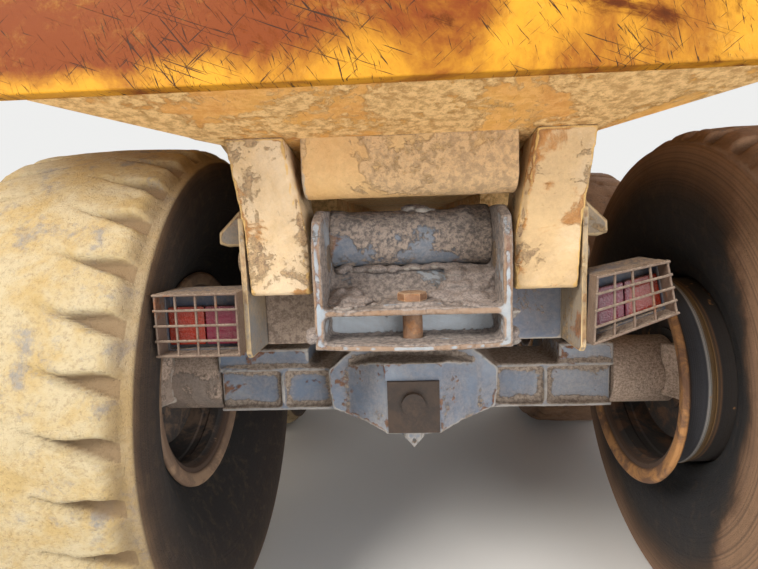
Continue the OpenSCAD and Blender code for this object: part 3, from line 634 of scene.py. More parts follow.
@dataclass(frozen=True)
class TyreRubber:
    """Rubber under pale dust on the tread, and a wall shaded in rings from bead to tread.

    share is how much dust hides the rubber, and the tail share spreads the tan of the wall's outer
    ring down the wall on the tyre's tail side as painted sunlight, leaving the wall above it dark
    as painted shadow of the body.
    """

    name: str
    dust: Colour = (0.49, 0.40, 0.245)
    sand: Colour = (0.45, 0.32, 0.135)
    rubber: Colour = (0.22, 0.215, 0.215)
    # groove is the dark of grit specks and wall stains, and the painted shade in the grooves and
    # on the lug ends.
    groove: Colour = (0.19, 0.12, 0.060)
    # The default wall ramp is black rubber darkened further, as painted shade on the wall, with
    # tan mud at the tread's edge.
    wall: tuple[tuple[float, Colour], ...] = (
        (0.0, (0.010, 0.008, 0.007)), (0.30, (0.016, 0.011, 0.009)),
        (0.60, (0.030, 0.018, 0.012)), (0.80, (0.050, 0.029, 0.017)),
        (0.88, (0.12, 0.070, 0.037)), (0.94, (0.26, 0.165, 0.082)))
    share: float = 0.525
    sunlit_tail: float = 0.0

    def build(self) -> bpy.types.Material:
        """Draws the material.

        Returns:
            The finished material.
        """
        sheet = Sheet(self.name)
        broad = sheet.window(sheet.noise(sheet.vector, 7.0, 9, 0.68, 0.3), 0.36, 0.60)
        tone = sheet.blend(broad, self.sand, self.dust)
        worn = sheet.noise(sheet.vector, 8.0, 12, 0.74, 0.2)
        mask = sheet.window(worn, self.share, self.share + 0.12)
        tread = sheet.blend(sheet.math("MULTIPLY", mask, 0.75), tone, self.rubber)
        grit = sheet.window(sheet.noise(sheet.vector, 95.0, 5, 0.75), 0.47, 0.68)
        tread = sheet.blend(sheet.math("MULTIPLY", grit, 0.42), tread, self.groove)
        ring = sheet.mark("ring")
        # Painted shade: the lug ends at the shoulder and the groove floors take the dark groove
        # colour, as the shade that falls in them.
        lug_end_shade = sheet.math("MULTIPLY", sheet.window(ring, 0.985, 0.93), 0.55)
        deep = sheet.math("MULTIPLY", sheet.window(sheet.mark("groove"), 0.15, 0.95), 0.9)
        tread = sheet.blend(sheet.math("MAXIMUM", lug_end_shade, deep), tread, self.groove)
        # Painted sunlight and shadow: on the tail side the wall takes the tan of its outer ring,
        # as sunlight, and elsewhere stays dark, as the body's shadow; the noise makes that edge
        # ragged.
        wander = sheet.noise(sheet.vector, 4.0, 6, 0.6, 0.4)
        ragged = sheet.scaled(wander, 0.34, sheet.part(1))
        tail = sheet.window(ragged, REAR_Y - 0.15, REAR_Y - 0.36)
        place = sheet.math("ADD", ring, sheet.scaled(wander, 0.22, -0.11))
        place = sheet.scaled(tail, self.sunlit_tail, place)
        wall = sheet.ramp(place, self.wall)
        rings = sheet.noise(sheet.along(ring), 46.0, 3, 0.6)
        line = sheet.math("MULTIPLY", sheet.window(rings, 0.42, 0.72), 0.6)
        wall = sheet.blend(line, wall, (0.012, 0.010, 0.009))
        film = sheet.window(sheet.noise(sheet.vector, 22.0, 8, 0.72, 0.3), 0.50, 0.66)
        wall = sheet.blend(sheet.math("MULTIPLY", film, 0.16), wall, self.groove)
        colour = sheet.blend(sheet.window(sheet.mark("wall"), 0.15, 0.75), tread, wall)
        crust = sheet.use("crust", Scale=34.0)["Height"]
        cracks = sheet.window(sheet.cells(sheet.vector, 30.0, "DISTANCE_TO_EDGE"), 0.0, 0.04)
        height = sheet.math("ADD", crust, sheet.math("MULTIPLY", cracks, 0.06))
        height = sheet.math("ADD", height, sheet.math("MULTIPLY", sheet.math(
            "MULTIPLY", rings, sheet.mark("wall")), 0.35))
        return sheet.close(colour=colour, roughness=0.9, height=height, depth=0.009)


@dataclass(frozen=True)
class RimSteel:
    """Rim steel: rusty flange, dark bore, and a drum in bands from bead to bead."""

    name: str
    flange: Colour
    edge: Colour
    bore: Colour = (0.045, 0.038, 0.034)
    bands: tuple[tuple[float, Colour], ...] = (
        (0.00, (0.10, 0.055, 0.032)), (0.055, (0.060, 0.040, 0.030)),
        (0.070, (0.050, 0.050, 0.058)), (0.185, (0.060, 0.062, 0.074)),
        (0.195, (0.46, 0.44, 0.42)), (0.212, (0.40, 0.38, 0.35)),
        (0.222, (0.20, 0.115, 0.040)), (0.270, (0.24, 0.13, 0.045)),
        (0.280, (0.055, 0.030, 0.016)), (0.295, (0.16, 0.080, 0.035)),
        (0.310, (0.020, 0.016, 0.014)), (1.00, (0.08, 0.05, 0.03)))

    def build(self) -> bpy.types.Material:
        """Draws the material.

        Returns:
            The finished material.
        """
        sheet = Sheet(self.name)
        across = sheet.mark("across")
        wander = sheet.noise(sheet.vector, 11.0, 4, 0.6)
        place = sheet.math("ADD", across, sheet.math("MULTIPLY", wander, 0.010))
        drum = sheet.ramp(place, self.bands)
        ribs = sheet.noise(sheet.along(across), 260.0, 1, 0.5)
        drum = sheet.blend(sheet.window(ribs, 0.45, 0.62), drum, (0.030, 0.026, 0.026))
        patch = sheet.noise(sheet.vector, 9.0, 8, 0.68, 0.6)
        flange = sheet.blend(sheet.window(patch, 0.42, 0.60), self.flange, self.edge)
        bore = sheet.blend(sheet.window(patch, 0.44, 0.66), self.bore, self.flange)
        colour = sheet.blend(sheet.mark("inside"), drum, bore)
        colour = sheet.blend(sheet.mark("flange"), colour, flange)
        rust = sheet.use("rust_bloom", Color=colour, Rim=self.edge, Heart=self.bore,
                         Amount=0.42, Scale=7.0)
        crust = sheet.use("crust", Scale=45.0)["Height"]
        height = sheet.math("ADD", crust, sheet.math("MULTIPLY", ribs, 0.25))
        return sheet.close(rust["Color"], 0.72, height, 0.004)


@dataclass(frozen=True)
class LampLens:
    """Ribbed lens: orange-red on the outer half of the lamp, crimson on the inner."""

    name: str
    outer: Colour = (0.21, 0.012, 0.001)
    inner: Colour = (0.13, 0.005, 0.022)

    def build(self) -> bpy.types.Material:
        """Draws the material.

        Returns:
            The finished material.
        """
        sheet = Sheet(self.name)
        across = sheet.math("ABSOLUTE", sheet.part(0))
        half = sheet.window(across, LAMP_MIDDLE - 0.002, LAMP_MIDDLE + 0.002)
        colour = sheet.blend(half, self.inner, self.outer)
        dust = sheet.use("dust_coat", Color=colour, Dust=(0.18, 0.075, 0.04),
                         Shade=(0.10, 0.03, 0.015), Amount=0.30, Scale=14.0)
        ribs = sheet.cells(sheet.stretched(sheet.vector, (260.0, 1.0, 260.0)), 1.0)
        roughness = sheet.scaled(dust["Mask"], 0.55, 0.18)
        sheet.shader.inputs["Coat Weight"].default_value = 0.3
        return sheet.close(dust["Color"], roughness, ribs, 0.0012)


@dataclass(frozen=True)
class BarePlate:
    """Plain worked metal or rubber, with stains and a little dust."""

    name: str
    base: Colour
    stain: Colour
    dust: Colour = (0.40, 0.29, 0.18)
    dust_share: float = 0.35
    gloss: float = 0.45
    metallic: float = 0.0
    depth: float = 0.0012

    def build(self) -> bpy.types.Material:
        """Draws the material.

        Returns:
            The finished material.
        """
        sheet = Sheet(self.name)
        stains = sheet.window(sheet.noise(sheet.vector, 17.0, 6, 0.62, 0.4), 0.4, 0.62)
        colour = sheet.blend(stains, self.base, self.stain)
        dust = sheet.use("dust_coat", Color=colour, Dust=self.dust, Shade=self.stain,
                         Amount=self.dust_share, Scale=8.0)
        roughness = sheet.scaled(dust["Mask"], 0.9 - self.gloss, self.gloss)
        crust = sheet.use("crust", Scale=40.0)["Height"]
        return sheet.close(dust["Color"], roughness, crust, self.depth, self.metallic)


FRAME_PAINT = WornPaint("frame_grey_blue", (0.155, 0.20, 0.275),
                        (0.29, 0.325, 0.38), dust=(0.42, 0.34, 0.27),
                        dust_shade=(0.22, 0.165, 0.125), dust_share=0.44, dust_up=0.22,
                        dust_scale=6.0, rust_share=0.45, rust=(0.30, 0.115, 0.05),
                        rust_scale=9.0, dust_nook=0.40, bare=(0.44, 0.42, 0.40),
                        tail_bare=0.055, crust_scale=30.0, crust_depth=0.007)
# Below z 1.142 the pocket's jaw is paler: its pale blue-grey paint, lightened further as painted
# light in the shaded jaw.
POCKET_PAINT = WornPaint("pocket_grey_rust", (0.28, 0.335, 0.39),
                         (0.33, 0.37, 0.40), dust=(0.31, 0.258, 0.225), dust_up=0.10,
                         dust_shade=(0.145, 0.122, 0.110), dust_share=0.53, rust_share=0.46,
                         dust_scale=6.0, rust=(0.27, 0.115, 0.05), dust_nook=0.16,
                         bare=(0.27, 0.165, 0.095), edge_share=0.50, crust_depth=0.008,
                         tail_bare=0.12, pale_below=1.142)
TUBE_PAINT = replace(POCKET_PAINT, name="tube_blue_mud", paint=(0.15, 0.20, 0.27),
                     faded=(0.24, 0.28, 0.32), dust=(0.37, 0.295, 0.24), dust_share=0.55,
                     tail_bare=0.02, pale_below=0.0)
PLATE_PAINT = WornPaint("tail_plate_ochre", (0.20, 0.205, 0.21),
                        (0.34, 0.27, 0.18), dust=(0.40, 0.27, 0.14),
                        dust_shade=(0.20, 0.13, 0.075), dust_share=0.46, rust_share=0.46,
                        dust_scale=7.0, bare=(0.60, 0.44, 0.24), edge_share=0.62)
CROSS_PAINT = WornPaint("cross_plate_blue", (0.10, 0.145, 0.225),
                        (0.18, 0.22, 0.29), dust=(0.34, 0.26, 0.20), left_dust=0.34,
                        dust_shade=(0.18, 0.13, 0.10), dust_share=0.43, rust_share=0.42,
                        dust_scale=6.0, tail_bare=0.05)
UNDER_PAINT = WornPaint("body_under_dusty", (0.78, 0.38, 0.065),
                        (0.66, 0.27, 0.04), dust=(0.86, 0.56, 0.24),
                        dust_shade=(0.54, 0.31, 0.11), dust_share=0.53, dust_scale=3.4,
                        rust_share=0.46, rust=(0.56, 0.16, 0.022), rust_scale=2.6,
                        rust_heart=(0.34, 0.11, 0.02), scratch_share=0.44,
                        mark=(0.30, 0.12, 0.04), crust_scale=34.0, crust_depth=0.008)
LIP_PAINT = WornPaint("lip_orange", (0.56, 0.262, 0.014), (0.175, 0.034, 0.001),
                      rust=(0.115, 0.025, 0.002), rust_heart=(0.036, 0.009, 0.002),
                      mark=(0.036, 0.011, 0.003), rust_share=0.47, rust_scale=2.6,
                      scratch_share=0.49, dust_share=0.24, gloss=0.62, crust_depth=0.0025,
                      dust=(0.66, 0.40, 0.09), dust_shade=(0.44, 0.20, 0.025),
                      dust_nook=0.1, dust_scale=7.0, left_fade=0.24, shine=0.22)
EAR_PAINT = WornPaint("ear_cream_rust", (0.82, 0.64, 0.42), (0.66, 0.45, 0.22),
                      rust=(0.58, 0.24, 0.045), rust_heart=(0.28, 0.12, 0.04),
                      rust_share=0.46, rust_scale=4.0, dust=(0.48, 0.32, 0.17),
                      dust_shade=(0.26, 0.165, 0.095), dust_share=0.44, dust_scale=5.0,
                      bare=(0.80, 0.50, 0.16), scratch_share=0.40, dust_nook=0.5,
                      crust_scale=34.0, crust_depth=0.008)
BEAM_PAINT = WornPaint("ear_beam_mud", (0.72, 0.45, 0.18), (0.62, 0.34, 0.11),
                       rust=(0.56, 0.22, 0.045), rust_heart=(0.26, 0.11, 0.04),
                       rust_share=0.46, rust_scale=4.0, dust=(0.66, 0.43, 0.22),
                       dust_shade=(0.44, 0.29, 0.155), dust_share=0.51, dust_scale=4.0,
                       dust_up=0.3, scratch_share=0.4, crust_scale=36.0, crust_depth=0.009)
BODY_PAINT = WornPaint("body_yellow", (0.62, 0.30, 0.045), (0.50, 0.21, 0.03),
                       rust=(0.36, 0.12, 0.025), rust_share=0.41, scratch_share=0.46,
                       dust=(0.56, 0.37, 0.17), dust_shade=(0.38, 0.23, 0.09),
                       dust_share=0.46, gloss=0.5, rust_scale=3.0)
MUD_CAKE = WornPaint("caked_mud", (0.17, 0.15, 0.135), (0.26, 0.20, 0.16),
                     rust=(0.30, 0.15, 0.07), dust=(0.62, 0.47, 0.37), left_dust=-0.32,
                     dust_shade=(0.36, 0.265, 0.20), dust_share=0.78, rust_share=0.42,
                     dust_scale=9.0, crust_scale=34.0, crust_depth=0.010, gloss=0.8)
CLODS = WornPaint("dry_clods", (0.235, 0.195, 0.17), (0.16, 0.135, 0.125),
                  rust=(0.26, 0.15, 0.09), dust=(0.34, 0.285, 0.25), dust_share=0.5,
                  dust_shade=(0.19, 0.155, 0.14), rust_share=0.34, gloss=0.85,
                  dust_scale=14.0, crust_scale=60.0, crust_depth=0.006)
RIM_LEFT = RimSteel("rim_brown", flange=(0.20, 0.125, 0.080), edge=(0.34, 0.215, 0.13))
RIM_RIGHT = RimSteel("rim_ochre", flange=(0.17, 0.085, 0.045), edge=(0.44, 0.215, 0.075))
OLD_RUST = WornPaint("old_rust", (0.22, 0.095, 0.04), (0.14, 0.06, 0.028),
                     rust=(0.40, 0.17, 0.06), dust=(0.42, 0.28, 0.17),
                     dust_shade=(0.24, 0.14, 0.08), dust_share=0.40, rust_share=0.5,
                     bare=(0.42, 0.25, 0.14), crust_scale=60.0, crust_depth=0.003)
CAGE_RUST = WornPaint("cage_rust", (0.115, 0.068, 0.045), (0.17, 0.12, 0.09),
                      rust=(0.24, 0.095, 0.04), dust=(0.29, 0.22, 0.165),
                      dust_shade=(0.13, 0.09, 0.062), dust_share=0.38, rust_share=0.46,
                      dust_scale=12.0, rust_scale=14.0, crust_scale=90.0, crust_depth=0.002)
OIL_PLATE = BarePlate("oily_plate", (0.021, 0.012, 0.008), (0.045, 0.024, 0.013),
                      dust=(0.080, 0.048, 0.030), dust_share=0.38, gloss=0.32)
DARK_STEEL = BarePlate("dark_steel", (0.10, 0.09, 0.085), (0.17, 0.12, 0.08),
                       dust_share=0.42, gloss=0.4, metallic=0.35)
STACK_RUBBER = BarePlate("stack_rubber", (0.03, 0.03, 0.032),
                         (0.075, 0.06, 0.045), dust=(0.22, 0.16, 0.11), gloss=0.75)
LAMP_SHELL = BarePlate("lamp_shell", (0.030, 0.045, 0.085), (0.09, 0.08, 0.08),
                       dust=(0.26, 0.19, 0.13), dust_share=0.36, gloss=0.5)
CHROME = BarePlate("rod_chrome", (0.60, 0.60, 0.60), (0.40, 0.38, 0.36),
                   dust_share=0.22, gloss=0.16, metallic=1.0, depth=0.0003)
TYRE_DUSTY = TyreRubber("tyre_dusty")
TYRE_DARK = TyreRubber("tyre_brown", dust=(0.34, 0.20, 0.115), sand=(0.24, 0.135, 0.075),
                       rubber=(0.085, 0.080, 0.085), groove=(0.13, 0.075, 0.042), share=0.56,
                       # the tail share paints sunlight on the wall's tail side and leaves the
                       # body's shadow above it
                       sunlit_tail=0.62,
                       wall=((0.0, (0.012, 0.012, 0.014)), (0.34, (0.018, 0.016, 0.017)),
                             (0.48, (0.026, 0.020, 0.017)), (0.60, (0.070, 0.038, 0.022)),
                             (0.74, (0.19, 0.105, 0.058)), (0.86, (0.27, 0.155, 0.090)),
                             (1.00, (0.30, 0.175, 0.10))))
LENS = LampLens("lamp_lens")

Finish = WornPaint | TyreRubber | RimSteel | LampLens | BarePlate
MADE: dict[str, bpy.types.Material] = {}


def material_of(finish: Finish) -> bpy.types.Material:
    """Returns a finish's material, drawn the first time it is asked for."""
    if finish.name not in MADE:
        MADE[finish.name] = finish.build()
    return MADE[finish.name]


# ---- mesh helpers ----


def lattice(points: np.ndarray, seed: int) -> np.ndarray:
    """Smooth random numbers from 0 to 1 on a grid of unit cells.

    Args:
        points: one row of three numbers for each place.
        seed: another seed gives another pattern.

    Returns:
        One number for each place.
    """
    cell = np.floor(points).astype(np.int64)
    part = points - cell
    part = part * part * (3.0 - 2.0 * part)
    total = np.zeros(len(points))
    for corner in range(8):
        step = np.array([corner & 1, corner >> 1 & 1, corner >> 2 & 1])
        spot = (cell + step) * np.array([73856093, 19349663, 83492791])
        code = (spot[:, 0] ^ spot[:, 1] ^ spot[:, 2]) + seed * 7919
        code = (code ^ (code >> 13)) * 1274126177 & 0x7FFFFFFF
        code = (code ^ (code >> 11)) & 0xFFFF
        weight = np.where(step, part, 1.0 - part).prod(axis=1)
        total += weight * code / 65535.0
    return total


def lumps(points: np.ndarray, size: float, seed: int, octaves: int = 3) -> np.ndarray:
    """Layered random numbers round 0, from -1 to 1.

    Args:
        points: one row of three numbers for each place, in metres.
        size: the largest lump's size in metres.
        seed: another seed gives another pattern.
        octaves: how many finer layers there are.

    Returns:
        One number for each place.
    """
    total = np.zeros(len(points))
    share = 1.0
    whole = 0.0
    for layer in range(octaves):
        total += share * (lattice(points / size * 2.0 ** layer, seed + layer) * 2.0 - 1.0)
        whole += share
        share *= 0.5
    return total / whole


def get_points(mesh: bpy.types.Mesh) -> np.ndarray:
    """The mesh's points, one row each."""
    flat = np.empty(len(mesh.vertices) * 3)
    mesh.vertices.foreach_get("co", flat)
    return flat.reshape(-1, 3)


def get_normals(mesh: bpy.types.Mesh) -> np.ndarray:
    """The points' normals, one row each."""
    flat = np.empty(len(mesh.vertices) * 3)
    mesh.vertices.foreach_get("normal", flat)
    return flat.reshape(-1, 3)


def set_points(mesh: bpy.types.Mesh, points: np.ndarray) -> None:
    """Moves the mesh's points."""
    mesh.vertices.foreach_set("co", points.reshape(-1))
    mesh.update()


def set_mark(mesh: bpy.types.Mesh, name: str, values: np.ndarray) -> None:
    """Writes one number for each point, which a material reads."""
    layer = mesh.attributes.new(name, "FLOAT", "POINT")
    layer.data.foreach_set("value", values.astype(np.float32))


def neighbour_mean(mesh: bpy.types.Mesh, values: np.ndarray) -> np.ndarray:
    """The mean of values over each point's neighbours.

    Args:
        mesh: gives the edges.
        values: one row for each point.

    Returns:
        An array of the same shape.
    """
    pairs = np.empty(len(mesh.edges) * 2, dtype=np.int32)
    mesh.edges.foreach_get("vertices", pairs)
    a, b = pairs.reshape(-1, 2).T
    count = np.bincount(a, minlength=len(values)) + np.bincount(b, minlength=len(values))
    columns = values.reshape(len(values), -1)
    mean = np.stack([
        np.bincount(a, weights=column[b], minlength=len(values))
        + np.bincount(b, weights=column[a], minlength=len(values))
        for column in columns.T], axis=1) / np.maximum(count, 1)[:, None]
    return mean.reshape(values.shape)


def mark_edges(mesh: bpy.types.Mesh, size: float) -> np.ndarray:
    """Finds the edges and the nooks of a dense mesh and writes them as marks.

    Args:
        mesh: a mesh of nearly equal faces.
        size: the faces' size in metres.

    Returns:
        How deep each point sits in a nook, from 0 to 1.
    """
    points = get_points(mesh)
    normals = get_normals(mesh)
    bend = np.einsum("ij,ij->i", points - neighbour_mean(mesh, points), normals) / size
    for _ in range(2):
        bend = 0.5 * bend + 0.5 * neighbour_mean(mesh, bend)
    nook = np.clip(-bend * 7.0, 0.0, 1.0)
    for _ in range(3):
        nook = np.maximum(nook, neighbour_mean(mesh, nook))
    set_mark(mesh, "edge", np.clip(bend * 7.0, 0.0, 1.0))
    set_mark(mesh, "nook", nook)
    return nook


def smooth_all(mesh: bpy.types.Mesh) -> None:
    """Shades every face of a mesh smooth."""
    mesh.polygons.foreach_set("use_smooth", [True] * len(mesh.polygons))


def new_object(name: str, data: bpy.types.ID) -> bpy.types.Object:
    """Makes an object of a mesh, a lamp or a camera, and links it to the scene."""
    made = bpy.data.objects.new(name, data)
    bpy.context.scene.collection.objects.link(made)
    return made


def to_object(bm: bmesh.types.BMesh, name: str) -> bpy.types.Object:
    """Turns a bmesh into an object and frees it.

    Args:
        bm: a closed shape, whose normals are turned outward.
        name: the object's name.

    Returns:
        The object, linked to the scene.
    """
    mesh = bpy.data.meshes.new(name)
    bmesh.ops.recalc_face_normals(bm, faces=bm.faces)
    bm.to_mesh(mesh)
    bm.free()
    return new_object(name, mesh)


def place_piece(piece: bpy.types.Object, body: str, finish: Finish, slot: Slot,
                *nodes: str) -> bpy.types.Object:
    """Gives a piece its finish and its body.

    Args:
        piece: the object.
        body: the CAD body it rides on.
        finish: its material's finish.
        slot: the record's slot for it; not used.
        nodes: the CAD nodes it stands for.

    Returns:
        The same object.
    """
    piece.data.materials.clear()
    piece.data.materials.append(material_of(finish))
    if nodes:
        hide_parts(*nodes)
    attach(piece, body)
    return piece


def node_bmesh(node: str) -> bmesh.types.BMesh:
    """Copies a CAD node's mesh and joins its loose triangles.

    Args:
        node: the node's name.

    Returns:
        The copy, as a bmesh.
    """
    bm = bmesh.new()
    bm.from_mesh(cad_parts[node].data)
    bmesh.ops.remove_doubles(bm, verts=bm.verts, dist=1e-5)
    return bm


def remesh(piece: bpy.types.Object, size: float) -> None:
    """Melts a piece's closed solids into one skin of small even faces.

    Args:
        piece: the object, whose mesh is replaced.
        size: the faces' size in metres.
    """
    change = piece.modifiers.new("skin", "REMESH")
    change.mode = "VOXEL"
    change.voxel_size = size
    graph = bpy.context.evaluated_depsgraph_get()
    mesh = bpy.data.meshes.new_from_object(piece.evaluated_get(graph))
    piece.modifiers.clear()
    old = piece.data
    piece.data = mesh
    bpy.data.meshes.remove(old)
    smooth_all(mesh)


def add_bar(bm: bmesh.types.BMesh, centre: Sequence[float], radius: float, length: float,
            sides: int, bevel: float) -> None:
    """Adds a many-sided bar that lies along x, with bevelled edges.

    Args:
        bm: the bmesh to add to.
        centre: the bar's middle.
        radius: its radius over the corners.
        length: its length.
        sides: how many sides it has; with fewer than 7, its long edges are bevelled too.
        bevel: the bevel's width.
    """
    place = Matrix.Translation(Vector(centre)) @ Matrix.Rotation(math.pi / 2, 4, "Y")
    made = bmesh.ops.create_cone(bm, cap_ends=True, segments=sides, radius1=radius,
                                 radius2=radius, depth=length, matrix=place)
    rings = [edge for edge in {e for v in made["verts"] for e in v.link_edges}
             if any(len(face.verts) > 4 for face in edge.link_faces) or sides < 7]
    bmesh.ops.bevel(bm, geom=rings, offset=bevel, offset_type="OFFSET", segments=2,
                    profile=0.5, affect="EDGES", material=-1)


def spin_profile(bm: bmesh.types.BMesh, outline: Sequence[tuple[float, float]],
                 steps: int) -> None:
    """Spins a closed outline about the x axis.

    Args:
        bm: the bmesh to add to.
        outline: the section's corners as (radius, x).
        steps: how many steps a full turn has.
    """
    verts = [bm.verts.new((x, 0.0, radius)) for radius, x in outline]
    edges = [bm.edges.new((verts[k - 1], verts[k])) for k in range(len(verts))]
    bmesh.ops.spin(bm, geom=verts + edges, cent=(0, 0, 0), axis=(1, 0, 0),
                   angle=2 * math.pi, steps=steps, use_merge=True, use_duplicate=False)
    bmesh.ops.remove_doubles(bm, verts=bm.verts, dist=1e-5)
    bmesh.ops.recalc_face_normals(bm, faces=bm.faces)


# ---- wheels ----


def ease(values: np.ndarray, low: float, high: float) -> np.ndarray:
    """Smooth step from 0 at low to 1 at high."""
    part = np.clip((values - low) / (high - low), 0.0, 1.0)
    return part * part * (3.0 - 2.0 * part)


def set_on_axle(mesh: bpy.types.Mesh, side: Side, y: float) -> None:
    """Moves a wheel's mesh to its axle's end, mirrored on the left, and smooths it.

    Args:
        mesh: made about the wheel's centre, with +x outward.
        side: the unit's side.
        y: the axle's place.
    """
    move = Matrix.Translation((side.value * TRACK_HALF, y, AXLE_Z))
    if side is Side.LEFT:
        move = move @ Matrix.Diagonal((-1.0, 1.0, 1.0, 1.0))
    mesh.transform(move)
    if side is Side.LEFT:
        mesh.flip_normals()
    smooth_all(mesh)


@dataclass(frozen=True)
class Tyre:
    """A wide earthmover tyre with chevron lugs, worn and caked.

    Axial places count outward from the wheel's centre plane.
    """

    node: str
    body: str
    side: Side
    y: float
    finish: Finish
    bead: float = 0.0
    tread: float = 0.0
    lug_count: int = 36
    steps_per_lug: int = 20
    radius: float = 0.810
    floor: float = 0.768
    half: float = 0.300
    lean: float = 2.476
    seed: int = 1

    def outline(self) -> list[tuple[float, float]]:
        """Draws the section, outer skin first.

        Returns:
            Its corners as (radius, axial place).
        """
        w, bead, tread = self.half, self.bead, self.tread
        mid = (bead + tread) / 2
        low = tread * 0.8 + bead * 0.2
        inner = [(0.320, -0.214 + bead), (0.332, -0.234 + bead), (0.362, -0.246 + bead),
                 (0.383, -0.249 + bead), (0.410, -w + 0.034 + bead * 0.95 + tread * 0.05),
                 (0.441, -w + 0.022 + bead * 0.9 + tread * 0.1),
                 (0.490, -w + 0.009 + bead * 0.7 + tread * 0.3), (0.540, -w + 0.003 + mid),
                 (0.582, -w + 0.001 + (mid + low) / 2), (0.620, -w + low),
                 (0.660, -w + 0.003 + tread * 0.92 + bead * 0.08)]
        shoulder = [(0.700, 0.008), (0.730, 0.010), (0.752, 0.011), (0.760, 0.016),
                    (0.765, 0.025), (0.768, 0.034), (0.774, 0.039), (0.783, 0.047),
                    (0.7905, 0.056), (0.797, 0.065), (0.8015, 0.077), (0.8035, 0.090)]
        edge = w - 0.105
        crown = [(self.radius - 0.0065 * (z / edge) ** 2, z + tread)
                 for z in np.linspace(-edge, edge, 37).tolist()]
        outer = [(r, w - a + tread) for r, a in reversed(shoulder)]
        outer += [(0.660, w - 0.003 + tread * 0.92),
                  (0.620, w + tread * 0.8), (0.582, w - 0.001 + tread * 0.65),
                  (0.540, w - 0.003 + tread / 2), (0.490, w - 0.009 + tread * 0.3),
                  (0.441, w - 0.022 + tread * 0.1), (0.410, w - 0.034), (0.383, 0.249),
                  (0.362, 0.246), (0.332, 0.234), (0.320, 0.214)]
        cavity = [(0.320, 0.170), (0.391, w - 0.090), (0.540, w - 0.038 + tread / 2),
                  (0.690, w - 0.050 + tread), (0.735, w - 0.100 + tread),
                  (0.735, -w + 0.100 + tread), (0.690, -w + 0.050 + tread),
                  (0.540, -w + 0.038 + mid), (0.391, -w + 0.090 + bead),
                  (0.320, -0.170 + bead)]
        return inner + [(r, a - w + tread) for r, a in shoulder] + crown + outer + cavity

    def build(self) -> bpy.types.Object:
        """Spins the section, cuts the grooves, and dresses the tyre.

        Returns:
            The tyre's object.
        """
        bm = bmesh.new()
        spin_profile(bm, self.outline(), self.lug_count * self.steps_per_lug)
        piece = to_object(bm, self.node + "_lugged")
        mesh = piece.data
        self.cut_grooves(mesh)
        set_on_axle(mesh, self.side, self.y)
        return place_piece(piece, self.body, self.finish, Slot.TYRE, self.node)

    def groove_mask(self, points: np.ndarray) -> np.ndarray:
        """How far each point of the tread lies in a groove, from 0 to 1.

        Args:
            points: one row for each point, about the wheel's own centre.

        Returns:
            One number for each point.
        """
        across = points[:, 0] - self.tread
        away = np.abs(across)
        angle = np.arctan2(points[:, 2], -points[:, 1])
        middle = np.where(across > 0, 0.25, 0.75) - (away - 0.145) * self.lean
        wobble = lumps(points, 0.11, self.seed) * 0.035 + lumps(points, 0.03, self.seed + 3) * 0.02
        turn = angle / (2 * math.pi) * self.lug_count - middle + wobble
        turn = (turn + 0.5) % 1.0 - 0.5
        reach = np.clip(away / (self.half - 0.050), 0.0, 1.0)
        lower = -0.0685 - 0.4935 * (away - 0.03)
        upper = lower + 0.035 + 0.32 * ease(reach, 0.45, 1.0)
        return ease(turn, lower - 0.045, lower + 0.035) * (1 - ease(turn, upper - 0.05,
                                                                   upper + 0.06))

    def cut_grooves(self, mesh: bpy.types.Mesh) -> None:
        """Presses the grooves between the lugs into the tread, and wears the lugs.

        Args:
            mesh: the spun section, still about the wheel's own centre.
        """
        points = get_points(mesh)
        radius = np.hypot(points[:, 1], points[:, 2])
        away = np.abs(points[:, 0] - self.tread)
        mask = self.groove_mask(points) * ease(away, 0.030, 0.150)
        mask *= radius > self.floor
        block = lumps(points, 0.16, self.seed + 5) * 0.5 + 0.5
        chips = ease(lumps(points, 0.045, self.seed + 7), 0.30, 0.62)
        grit = lumps(points, 0.030, self.seed + 9) * 0.5 + 0.5
        worn = (block * 0.006 + chips * 0.006 + grit * 0.0016) * (1 - mask)
        drop = (radius - self.floor + 0.002 * grit) * mask + worn * (radius > 0.764)
        drop += grit * 0.0015 * ((radius > 0.745) & (radius <= 0.764))
        scale = 1.0 - drop / radius
        points[:, 1] *= scale
        points[:, 2] *= scale
        set_points(mesh, points)
        set_mark(mesh, "groove", mask)
        set_mark(mesh, "wall", 1.0 - ease(radius, 0.748, 0.766))
        set_mark(mesh, "ring", np.clip((radius - 0.38) / 0.43, 0.0, 1.0))


